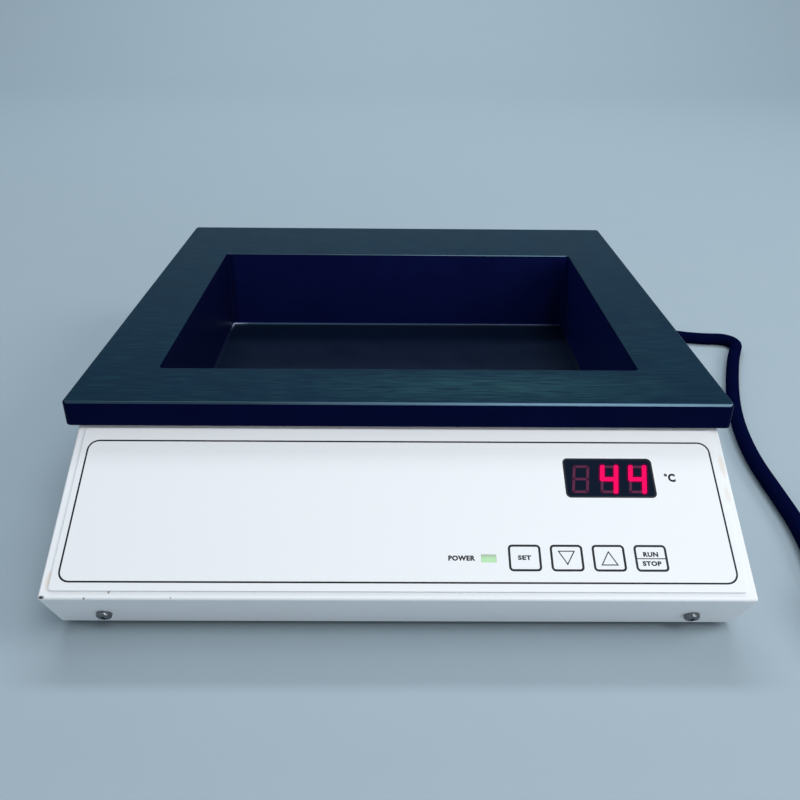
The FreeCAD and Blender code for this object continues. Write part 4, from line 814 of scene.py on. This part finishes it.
@dataclass
class MainsLead:
    """The mains lead as one smooth spline: its free stretch, its coil and the tail to the plug."""
    diameter: float = 8.5
    coil_centre: tuple[float, float] = (242.0, -170.0)
    coil_radius: float = 47.5
    # Angles along the coil in degrees: its whole, and the stretches where a turn shifts or climbs
    coil_span: tuple[float, float] = (180.0, 1440.0)
    shift_in: tuple[float, float] = (450.0, 515.0)
    climb: tuple[float, float] = (768.0, 815.0)
    shift_out: tuple[float, float] = (1080.0, 1135.0)
    points_per_turn: int = 24
    # The free stretch: down from the connector, then as the photo shows it, on the floor
    from_connector: tuple[tuple[float, float, float], ...] = (
        (100.0, 222.0, 23.1), (100.0, 244.0, 23.1), (102.2, 268.0, 14.5), (112.0, 290.5, 5.6))
    on_floor: tuple[tuple[float, float], ...] = (
        (132.5, 305.8), (156.0, 307.4), (177.5, 295.0), (188.6, 273.5), (190.8, 248.0),
        (189.4, 222.0), (188.6, 197.0), (192.4, 174.6), (204.0, 158.4), (221.0, 151.0),
        (236.0, 148.2), (243.8, 148.0), (248.9, 147.7), (252.5, 146.0), (255.2, 143.0),
        (256.6, 139.2), (256.4, 135.1), (253.0, 127.7), (246.2, 113.6), (236.4, 89.2),
        (226.6, 63.0), (217.0, 33.5), (209.6, 2.0), (205.4, -29.0), (204.8, -60.0), (203.8, -91.0),
        (198.6, -120.0), (192.4, -146.0))
    tail_start: float = 12.0
    tail_end_y: float = -136.0

    @property
    def route(self) -> list[tuple[float, float, float]]:
        """Points of the free stretch, down from the connector and along the floor."""
        return [*self.from_connector, *((x, y, self.diameter / 2) for x, y in self.on_floor)]

    @staticmethod
    def eased(angle: float, start: float, end: float) -> float:
        """Smooth step from 0 to 1 between two angles in degrees."""
        share = min(1.0, max(0.0, (angle - start) / (end - start)))
        return share * share * (3 - 2 * share)

    def coil_points(self) -> list[tuple[float, float, float]]:
        """Points of three and a half turns, two wide and two high.

        The outer turn on the floor shifts in, climbs to the upper layer and shifts out again, each over a
        stretch where the turns beside it leave room.

        Returns:
            Points in millimetres, from the coil's left side to its right.
        """
        step = 360 / self.points_per_turn
        swell = 2 / (1 + math.cos(math.radians(step / 2)))
        points = []
        angle, last = self.coil_span
        while angle < last + step / 2:
            inward = self.eased(angle, *self.shift_in) - self.eased(angle, *self.shift_out)
            radius = (self.coil_radius + self.diameter * (0.5 - inward)) * swell
            height = self.diameter * (0.5 + self.eased(angle, *self.climb))
            turn = math.radians(angle)
            points.append((self.coil_centre[0] + radius * math.cos(turn),
                           self.coil_centre[1] + radius * math.sin(turn), height))
            angle += step
        return points

    def tail_points(self) -> list[tuple[float, float, float]]:
        """Points of the straight tail into the plug's bend relief."""
        x = self.coil_centre[0] + self.coil_radius + self.diameter / 2
        z = self.diameter * 1.5
        return [(x, self.coil_centre[1] + self.tail_start, z), (x, self.tail_end_y, z)]

    def build(self) -> bpy.types.Object:
        """Adds the lead, in place of its solids.

        Returns:
            The lead.
        """
        points = self.route + self.coil_points() + self.tail_points()
        data = bpy.data.curves.new("mains_lead", "CURVE")
        data.dimensions = "3D"
        spline = data.splines.new("NURBS")
        spline.points.add(len(points) - 1)
        for point, place in zip(spline.points, points):
            point.co = (*[v * MM for v in place], 1)
        spline.order_u = 3
        spline.use_endpoint_u = True
        data.resolution_u = 10
        data.bevel_depth = self.diameter / 2 * MM
        data.bevel_resolution = 5
        data.use_fill_caps = True
        lead = bpy.data.objects.new("mains_lead", data)
        bpy.context.scene.collection.objects.link(lead)
        lead.data.materials.append(SHEATH.material())
        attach(lead, HOUSING)
        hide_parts("power_cord", "cord_coil", "cord_tail")
        log.info("mains_lead: %d points", len(points))
        return lead


@dataclass
class FlotationTray:
    """Cast tray in one piece: a flat rim with a shallow skirt, and the rectangular well."""
    rim_under_z: float = 70.2
    plate: float = 4.0
    skirt_wall: float = 3.0
    well_half_width: float = 115.5
    well_front_y: float = -70.0
    well_rear_y: float = 107.0
    well_floor_z: float = 31.5
    wall: float = 3.0
    rim_corner: float = 2.5
    well_corner: float = 2.2
    rim_round: float = 1.4
    under_round: float = 0.8
    lip_round: float = 0.7
    lip_reach: float = 1.0
    under_reach: float = 8.0
    across_at_most: float = 0.3
    ridge: tuple[float, float] = (0.35, 0.9)
    round_middle: tuple[float, float] = (0.4, 0.92)
    ridge_above_z: float = 80.9
    wall_below_z: float = 81.9
    floor_below_z: float = 40.0

    def in_well(self, point: Vector, grow: float) -> bool:
        """Says whether a point lies over the well, grown by some millimetres."""
        return (abs(point.x) < (self.well_half_width + grow) * MM
                and (self.well_front_y - grow) * MM < point.y < (self.well_rear_y + grow) * MM)

    def cut_lines(self, low: Vector, high: Vector) -> None:
        """Divides the block along the well's walls and the skirt's inner face.

        Args:
            low: The tray's lowest corner, in metres.
            high: Its highest corner.
        """
        outer = self.well_half_width + self.wall
        xs = [s * v * MM for v in (self.well_half_width, outer) for s in (-1, 1)]
        ys = [v * MM for v in (self.well_front_y - self.wall, self.well_front_y, self.well_rear_y,
                               self.well_rear_y + self.wall)]
        skirt = self.skirt_wall * MM
        xs += [low.x + skirt, high.x - skirt]
        ys += [low.y + skirt, high.y - skirt]
        for place, normal in [((x, 0, 0), (1, 0, 0)) for x in xs] + [((0, y, 0), (0, 1, 0)) for y in ys]:
            bpy.ops.mesh.select_all(action="SELECT")
            bpy.ops.mesh.bisect(plane_co=place, plane_no=normal)

    def shape(self, tray: bpy.types.Object, low: Vector, high: Vector) -> None:
        """Pushes the well down, its outer wall after it, and hollows the rim's underside.

        Args:
            tray: The divided block, in edit mode.
            low: The tray's lowest corner, in metres.
            high: Its highest corner.
        """
        under, top, floor = self.rim_under_z * MM, high.z, self.well_floor_z * MM
        skirt = self.skirt_wall * MM

        def within_skirt(f: bmesh.types.BMFace) -> bool:
            """Says whether a face is on the rim's underside, inside the skirt."""
            centre = f.calc_center_median()
            return (f.normal.z < -FACING and near(centre.z, under)
                    and low.x + skirt < centre.x < high.x - skirt
                    and low.y + skirt < centre.y < high.y - skirt)

        pick_faces(tray, lambda f: f.normal.z > FACING and self.in_well(f.calc_center_median(), 0))
        extrude_to((0, 0, floor - top))
        pick_faces(tray, lambda f: f.normal.z < -FACING and self.in_well(f.calc_center_median(), self.wall))
        extrude_to((0, 0, low.z - under))
        pick_faces(tray, within_skirt)
        extrude_to((0, 0, top - self.plate * MM - under))

    def round_edges(self, tray: bpy.types.Object, low: Vector, high: Vector) -> None:
        """Rounds the rim's and the well's corners and edges.

        Args:
            tray: The shaped tray, in edit mode.
            low: Its lowest corner, in metres.
            high: Its highest corner.
        """
        floor, under = self.well_floor_z * MM, self.rim_under_z * MM

        def upright(e: bmesh.types.BMEdge) -> bool:
            """Says whether a sharp edge stands straight up."""
            one, other = e.verts[0].co, e.verts[1].co
            return is_sharp(e) and near(one.x, other.x) and near(one.y, other.y)

        def on_rim(e: bmesh.types.BMEdge) -> bool:
            """Says whether an edge is by the rim's outer sides."""
            m = middle(e)
            side = self.rim_corner * MM
            return m.x < low.x + side or m.x > high.x - side or m.y < low.y + side or m.y > high.y - side

        def by_lip(e: bmesh.types.BMEdge) -> bool:
            """Says whether an edge is at the well's lip or inside it."""
            return self.in_well(middle(e), self.lip_reach)

        def at_height(e: bmesh.types.BMEdge, z: float) -> bool:
            """Says whether a sharp edge lies at a height in metres."""
            return is_sharp(e) and near(middle(e).z, z)

        pick_edges(tray, lambda e: upright(e) and on_rim(e) and near(abs(middle(e).x), high.x))
        bevel(self.rim_corner, 6)
        pick_edges(tray, lambda e: upright(e) and by_lip(e) and middle(e).z > floor)
        bevel(self.well_corner, 6)
        pick_edges(tray, lambda e: at_height(e, high.z) and not by_lip(e))
        bevel(self.rim_round, 5)
        pick_edges(tray, lambda e: at_height(e, high.z) and by_lip(e))
        bevel(self.lip_round, 4)
        pick_edges(tray, lambda e: at_height(e, floor))
        bevel(self.well_corner, 6)
        pick_edges(tray, lambda e: at_height(e, under) and on_rim(e)
                   and not self.in_well(middle(e), self.under_reach))
        bevel(self.under_round, 3)

    def is_edge_ridge(self, face: bpy.types.MeshPolygon) -> bool:
        """Says whether a face is on the ridge of a rounded top edge along X, of the rim or the lip."""
        return (abs(face.normal.x) < self.across_at_most
                and self.ridge[0] < face.normal.z < self.ridge[1]
                and face.center.z > self.ridge_above_z * MM)

    def is_round(self, face: bpy.types.MeshPolygon) -> bool:
        """Says whether a face is in the middle of the round between the well's floor and a wall."""
        return (self.in_well(face.center, 0.0)
                and self.round_middle[0] < face.normal.z < self.round_middle[1]
                and face.center.z < (self.well_floor_z + self.well_corner) * MM)

    def is_floor(self, face: bpy.types.MeshPolygon) -> bool:
        """Says whether a face is on the well's floor."""
        return (self.in_well(face.center, 0.0) and face.normal.z > FACING
                and face.center.z < self.floor_below_z * MM)

    def is_wall(self, face: bpy.types.MeshPolygon) -> bool:
        """Says whether a face is on the well's inner walls."""
        return self.in_well(face.center, 0.1) and face.center.z < self.wall_below_z * MM

    def build(self) -> bpy.types.Object:
        """Adds the tray, in place of its solid.

        Returns:
            The tray.
        """
        low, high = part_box("bath_tray")
        tray = start_block("flotation_tray", (low.x, low.y, self.rim_under_z * MM), high)
        with editing(tray):
            self.cut_lines(low, high)
            self.shape(tray, low, high)
            self.round_edges(tray, low, high)
        smooth(tray)
        # Painted highlights on the edge ridges, over their wear, and along the well's round
        dress(tray, ANODISED, areas=(
            (EDGE_WEAR_AND_HIGHLIGHT, self.is_edge_ridge), (WELL_ROUND_HIGHLIGHT, self.is_round), (WELL_FLOOR, self.is_floor),
            (WELL_WALL, self.is_wall)))
        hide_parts("bath_tray")
        return tray


@dataclass(frozen=True)
class Word:
    """A printed word, its place, size and added stroke width in millimetres."""
    name: str
    text: str
    place: tuple[float, float]
    size: tuple[float, float]
    weight: float
    finish: Finish


@dataclass
class KeypadPrint:
    """Everything printed on the film: border, key outlines, arrows and words."""
    border_half_width: float = 138.55
    border_s: tuple[float, float] = (6.6, 72.45)
    border_corner: float = 5.0
    border_line: float = 0.75
    key_left: float = 45.0
    key_pitch: float = 17.43
    key_width: float = 13.55
    key_s: tuple[float, float] = (11.9, 23.5)
    key_corner: float = 1.8
    key_line: float = 0.95
    arrow_size: tuple[float, float] = (7.3, 6.35)
    arrow_line: float = 0.45
    divider_below: float = 0.2
    divider_line: float = 0.4
    window_centre: tuple[float, float] = (91.7, 54.55)
    window_size: tuple[float, float] = (39.4, 19.1)
    window_corner: float = 2.2
    window_line: float = 0.8
    degree_centre: tuple[float, float] = (116.65, 56.0)
    degree_radius: float = 0.72
    degree_line_share: float = 0.8
    cap_height: float = 0.729
    spacing_gain: float = 1.4
    set_word: Word = Word("word_set", "SET", (-0.1, 0.1), (5.55, 2.0), 0.13, GREY_INK)
    run_stop_words: tuple[Word, ...] = (
        Word("word_run", "RUN", (0.0, 1.65), (6.2, 2.15), 0.14, GREY_INK),
        Word("word_stop", "STOP", (0.0, -2.3), (7.8, 2.07), 0.14, GREY_INK))
    panel_words: tuple[Word, ...] = (
        Word("word_power", "POWER", (25.7, 17.5), (11.1, 2.3), 0.16, BLACK_INK),
        Word("letter_c", "C", (119.15, 54.7), (3.15, 4.05), 0.27, BLACK_INK))

    def lay_on_panel(self, piece: bpy.types.Object, finish: Finish) -> bpy.types.Object:
        """Thickens a flat print and lays it on the film's face.

        Args:
            piece: The flat print, on the XY plane.
            finish: Its ink.

        Returns:
            The dressed print.
        """
        apply_modifier(piece, "SOLIDIFY", {"thickness": INK_THICK * MM, "offset": 1.0})
        piece.data.transform(PANEL @ Matrix.Translation((0, 0, FILM_TOP * MM)))
        return dress(piece, finish)

    def outline(self, name: str, centre: tuple[float, float], size: tuple[float, float], corner: float,
                line: float) -> bpy.types.Object:
        """Adds a printed rectangle outline with round corners.

        Args:
            name: The piece's name.
            centre: Its middle on the panel, in millimetres.
            size: Its outer width and height.
            corner: Its outer corner radius.
            line: The line's width.

        Returns:
            The flat mesh.
        """
        ring = start_patch(name, centre, size)
        with editing(ring):
            bpy.ops.mesh.select_all(action="SELECT")
            bpy.ops.mesh.bevel(offset=corner * MM, segments=6, affect="VERTICES")
            pick_faces(ring, lambda f: True)
            bpy.ops.mesh.inset(thickness=line * MM)
            bpy.ops.mesh.delete(type="FACE")
        return ring

    def arrow(self, name: str, centre: tuple[float, float], up: bool) -> bpy.types.Object:
        """Adds the outline of a triangle.

        Args:
            name: The piece's name.
            centre: Its middle on the panel, in millimetres.
            up: Whether it points up.

        Returns:
            The flat mesh.
        """
        width, height = self.arrow_size
        deselect()
        bpy.ops.mesh.primitive_circle_add(vertices=3, radius=1, fill_type="NGON")
        arrow = bpy.context.object
        settle(arrow, name)
        lowest = min(v.co.y for v in arrow.data.vertices)
        tall = max(v.co.y for v in arrow.data.vertices) - lowest
        wide = max(v.co.x for v in arrow.data.vertices) * 2
        arrow.scale = (width * MM / wide, height * MM / tall, 1)
        settle(arrow, name)
        heights = [v.co.y for v in arrow.data.vertices]
        middle_y = (max(heights) + min(heights)) / 2
        arrow.location = (centre[0] * MM, centre[1] * MM - middle_y, 0)
        if not up:
            arrow.rotation_euler.z = math.pi
            arrow.location.y = centre[1] * MM + middle_y
        settle(arrow, name)
        with editing(arrow):
            pick_faces(arrow, lambda f: True)
            bpy.ops.mesh.inset(thickness=self.arrow_line * MM)
            bpy.ops.mesh.delete(type="FACE")
        return arrow

    def print_word(self, word: Word, start: tuple[float, float] = (0.0, 0.0)) -> bpy.types.Object:
        """Prints a word on the film.

        Args:
            word: The word.
            start: The point on the panel from which its place counts, in millimetres.

        Returns:
            The dressed word.
        """
        deselect()
        bpy.ops.object.text_add(location=(0, 0, 0))
        label = bpy.context.object
        label.data.body = word.text
        label.data.resolution_u = 3
        label.data.size = word.size[1] * MM / self.cap_height
        label.data.offset = word.weight * MM
        label.data.space_character = 1.0 + self.spacing_gain * word.weight / word.size[1]
        bpy.ops.object.convert(target="MESH")
        label = bpy.context.object
        sides = [v.co.x for v in label.data.vertices]
        highs = [v.co.y for v in label.data.vertices]
        wide, tall = max(sides) - min(sides), max(highs) - min(highs)
        label.scale = (word.size[0] * MM / wide, word.size[1] * MM / tall, 1)
        label.location = (
            (start[0] + word.place[0]) * MM - (max(sides) + min(sides)) / 2 * label.scale.x,
            (start[1] + word.place[1]) * MM - (max(highs) + min(highs)) / 2 * label.scale.y, 0)
        return self.lay_on_panel(settle(label, word.name), word.finish)

    def degree_mark(self) -> bpy.types.Object:
        """Adds the small ring of the degree sign, nearly closed by its ink.

        Returns:
            The flat mesh.
        """
        deselect()
        centre = Vector((*self.degree_centre, 0)) * MM
        bpy.ops.mesh.primitive_circle_add(vertices=24, radius=self.degree_radius * MM, fill_type="NGON",
                                          location=centre)
        mark = settle(bpy.context.object, "degree_mark")
        with editing(mark):
            pick_faces(mark, lambda f: True)
            bpy.ops.mesh.inset(thickness=self.degree_radius * self.degree_line_share * MM)
            bpy.ops.mesh.delete(type="FACE")
        return mark

    def key_centre(self, index: int) -> tuple[float, float]:
        """Middle of one key on the panel, in millimetres."""
        return (self.key_left + index * self.key_pitch + self.key_width / 2, sum(self.key_s) / 2)

    def print_keys(self) -> None:
        """Prints each key's outline."""
        size = (self.key_width, self.key_s[1] - self.key_s[0])
        for index, key in enumerate(("set", "down", "up", "run_stop")):
            ring = self.outline(f"key_outline_{key}", self.key_centre(index), size, self.key_corner,
                                self.key_line)
            self.lay_on_panel(ring, GREY_INK if key == "run_stop" else BLACK_INK)

    def build(self) -> None:
        """Adds each printed piece."""
        low, high = self.border_s
        border = self.outline("printed_border", (0, (low + high) / 2),
                              (2 * self.border_half_width, high - low), self.border_corner,
                              self.border_line)
        self.lay_on_panel(border, BLACK_INK)
        self.print_keys()
        self.print_word(self.set_word, self.key_centre(0))
        self.lay_on_panel(self.arrow("arrow_down", self.key_centre(1), False), GREY_INK)
        self.lay_on_panel(self.arrow("arrow_up", self.key_centre(2), True), GREY_INK)
        x, s = self.key_centre(3)
        divider = start_patch("key_divider", (x, s - self.divider_below),
                              (self.key_width - 2 * self.key_line, self.divider_line))
        self.lay_on_panel(divider, GREY_INK)
        for word in self.run_stop_words:
            self.print_word(word, (x, s))
        edge = self.outline("printed_window_edge", self.window_centre, self.window_size,
                            self.window_corner, self.window_line)
        self.lay_on_panel(edge, BLACK_INK)
        for word in self.panel_words:
            self.print_word(word)
        self.lay_on_panel(self.degree_mark(), BLACK_INK)


@dataclass
class Display:
    """Three seven-segment digits behind the tinted window, the first dark and the others reading 44."""
    first_x: float = 79.2
    pitch: float = 12.4
    middle_s: float = 53.9
    height: float = 14.2
    width: float = 8.1
    lit_stroke: float = 2.05
    dark_stroke: float = 1.2
    scatter_stroke: float = 3.3
    gap: float = 0.2
    point_share: float = 0.4
    slant: float = 8.0
    lit: tuple[str, ...] = ("", "bcfg", "bcfg")

    def segment(self, name: str, letter: str, centre_x: float, stroke: float,
                level: float) -> bpy.types.Object:
        """Adds one segment, pointed at both ends, on the window's face.

        Args:
            name: The piece's name.
            letter: The segment's usual letter, a to g.
            centre_x: Middle of its digit.
            stroke: Its width.
            level: Its height over the window's face.

        Returns:
            The segment.
        """
        half_w, half_h = (self.width - self.lit_stroke) / 2, (self.height - self.lit_stroke) / 2
        # Middle of each segment in the digit, and 1 where it lies across
        places = {
            "a": (0, half_h, 1), "d": (0, -half_h, 1), "g": (0, 0, 1),
            "f": (-half_w, half_h / 2, 0), "b": (half_w, half_h / 2, 0),
            "e": (-half_w, -half_h / 2, 0), "c": (half_w, -half_h / 2, 0)}
        x, s, lies = places[letter]
        long = (2 * half_w if lies else half_h) + stroke - self.gap
        size = (long, stroke) if lies else (stroke, long)
        bar = start_patch(name, (x, s), size)
        with editing(bar):
            bpy.ops.mesh.select_all(action="SELECT")
            bpy.ops.mesh.bevel(offset=stroke * self.point_share * MM, segments=2, affect="VERTICES")
        lean = Matrix.Identity(4)
        lean[0][1] = math.tan(math.radians(self.slant))
        bar.data.transform(Matrix.Translation((centre_x * MM, self.middle_s * MM, 0)) @ lean)
        apply_modifier(bar, "SOLIDIFY", {"thickness": INK_THICK * MM, "offset": 1.0})
        bar.data.transform(PANEL @ Matrix.Translation((0, 0, level * MM)))
        return bar

    def build(self) -> None:
        """Adds the three digits' segments, and the scattered light round the lit ones."""
        for index, shown in enumerate(self.lit):
            x = self.first_x + index * self.pitch
            for letter in "abcdefg":
                name = f"digit_{index + 1}_segment_{letter}"
                if letter in shown:
                    bar = self.segment(name, letter, x, self.lit_stroke, FILM_TOP + 2 * INK_THICK)
                    dress(bar, LIT)
                    halo = self.segment(f"{name}_scatter", letter, x, self.scatter_stroke, FILM_TOP)
                    dress(halo, SCATTER)
                else:
                    bar = self.segment(name, letter, x, self.dark_stroke, FILM_TOP + INK_THICK)
                    dress(bar, UNLIT)


@dataclass(frozen=True)
class Grip:
    """Where the ribs of one moulded grip stand, in millimetres."""
    name: str
    middle_x: float
    half_width: float
    first_y: float
    pitch: float
    z: float


@dataclass
class MainsEntry:
    """Marks on the two halves of the rocker's face, and grip ribs on the connector and the plug."""
    rocker_place: tuple[float, float, float] = (100.0, 165.0, 50.0)
    rocker_tilt: float = 9.0
    # The face's two flats slope up from its middle, which stands this far out from the pivot
    face_slope: float = 9.0
    face_low: float = 3.052
    mark_x: float = 5.6
    mark_height: float = 4.4
    mark_line: float = 0.6
    mark_thick: float = 0.06
    mark_round_share: float = 0.2
    rib_size: tuple[float, float, float] = (0.9, 1.3, 11.0)
    rib_round: float = 0.35
    ribs_in_row: int = 3
    grips: tuple[Grip, ...] = (
        Grip("connector_ribs", 100.0, 14.25, 170.6, 2.5, 23.1),
        Grip("plug_ribs", 293.75, 13.0, -90.0, 3.2, 12.75))

    def on_rocker(self, mark: bpy.types.Object, side: int) -> bpy.types.Object:
        """Lays a flat mark on one half of the rocker's face.

        Args:
            mark: The flat mark, centred on the origin.
            side: -1 for the pressed half, 1 for the raised one.

        Returns:
            The dressed mark.
        """
        slope = math.radians(self.face_slope)
        depth = self.face_low + self.mark_x * math.tan(slope)
        apply_modifier(mark, "SOLIDIFY", {"thickness": self.mark_thick * MM, "offset": 1.0})
        faced = Matrix.Rotation(side * slope, 4, "Z") @ Matrix.Rotation(math.radians(-90), 4, "X")
        half = Matrix.Translation((side * self.mark_x * MM, depth * MM, 0)) @ faced
        tilt = Matrix.Rotation(math.radians(self.rocker_tilt), 4, "Z")
        mark.data.transform(Matrix.Translation(Vector(self.rocker_place) * MM) @ tilt @ half)
        return dress(mark, MARK_PAINT, ROCKER)

    def rocker_marks(self) -> None:
        """Adds the painted line and ring."""
        line = start_patch("rocker_line", (0, 0), (self.mark_line, self.mark_height))
        with editing(line):
            bpy.ops.mesh.select_all(action="SELECT")
            bpy.ops.mesh.bevel(offset=self.mark_line * self.mark_round_share * MM, segments=2,
                               affect="VERTICES")
        self.on_rocker(line, -1)
        deselect()
        bpy.ops.mesh.primitive_circle_add(vertices=32, radius=self.mark_height / 2 * MM, fill_type="NGON")
        ring = settle(bpy.context.object, "rocker_ring")
        with editing(ring):
            pick_faces(ring, lambda f: True)
            bpy.ops.mesh.inset(thickness=self.mark_line * MM)
            bpy.ops.mesh.delete(type="FACE")
        self.on_rocker(ring, 1)

    def ribs(self, name: str, places: list[tuple[float, float, float]]) -> bpy.types.Object:
        """Adds a row of rounded ribs.

        Args:
            name: The piece's name.
            places: Each rib's middle, in millimetres.

        Returns:
            The ribs as one dressed piece.
        """
        half = Vector(self.rib_size) / 2 * MM
        rib = start_block(f"{name}_first", -half, half)
        with editing(rib):
            pick_edges(rib, is_sharp)
            bevel(self.rib_round, 3)
        smooth(rib)
        row = []
        for place in places:
            copy = rib.copy()
            copy.data = rib.data.copy()
            copy.data.transform(Matrix.Translation(Vector(place) * MM))
            bpy.context.scene.collection.objects.link(copy)
            row.append(copy)
        bpy.data.objects.remove(rib)
        make_active(row[0])
        for copy in row:
            copy.select_set(True)
        bpy.ops.object.join()
        piece = bpy.context.object
        piece.name = name
        piece.data.name = name
        return dress(piece, SHEATH)

    def build(self) -> None:
        """Adds the marks, and ribs on both sides of the connector's and the plug's grips."""
        self.rocker_marks()
        for grip in self.grips:
            self.ribs(grip.name, [
                (grip.middle_x + side * grip.half_width, grip.first_y + i * grip.pitch, grip.z)
                for side in (-1, 1) for i in range(self.ribs_in_row)])


def dress_solids(frame: dict) -> None:
    """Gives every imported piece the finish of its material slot.
    """
    slots = {row["node"]: row["material_slot"] for row in frame["record"]["subparts"]}
    for name, node in frame["nodes"].items():
        node.data.materials.clear()
        node.data.materials.append(SLOT_FINISHES[slots[name]].material())
    log.info("%d solids dressed", len(frame["nodes"]))


def main(frame: dict) -> None:
    """Builds the scene, piece by piece.
    """
    PhotoCamera().build()
    MainsLead().build()
    Studio().build()
    dress_solids(frame)
    FlotationTray().build()
    KeypadPrint().build()
    Display().build()
    MainsEntry().build()


if __name__ == "__main__":
    logging.basicConfig(level=logging.INFO, format="%(message)s")
    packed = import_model()
    main(packed)
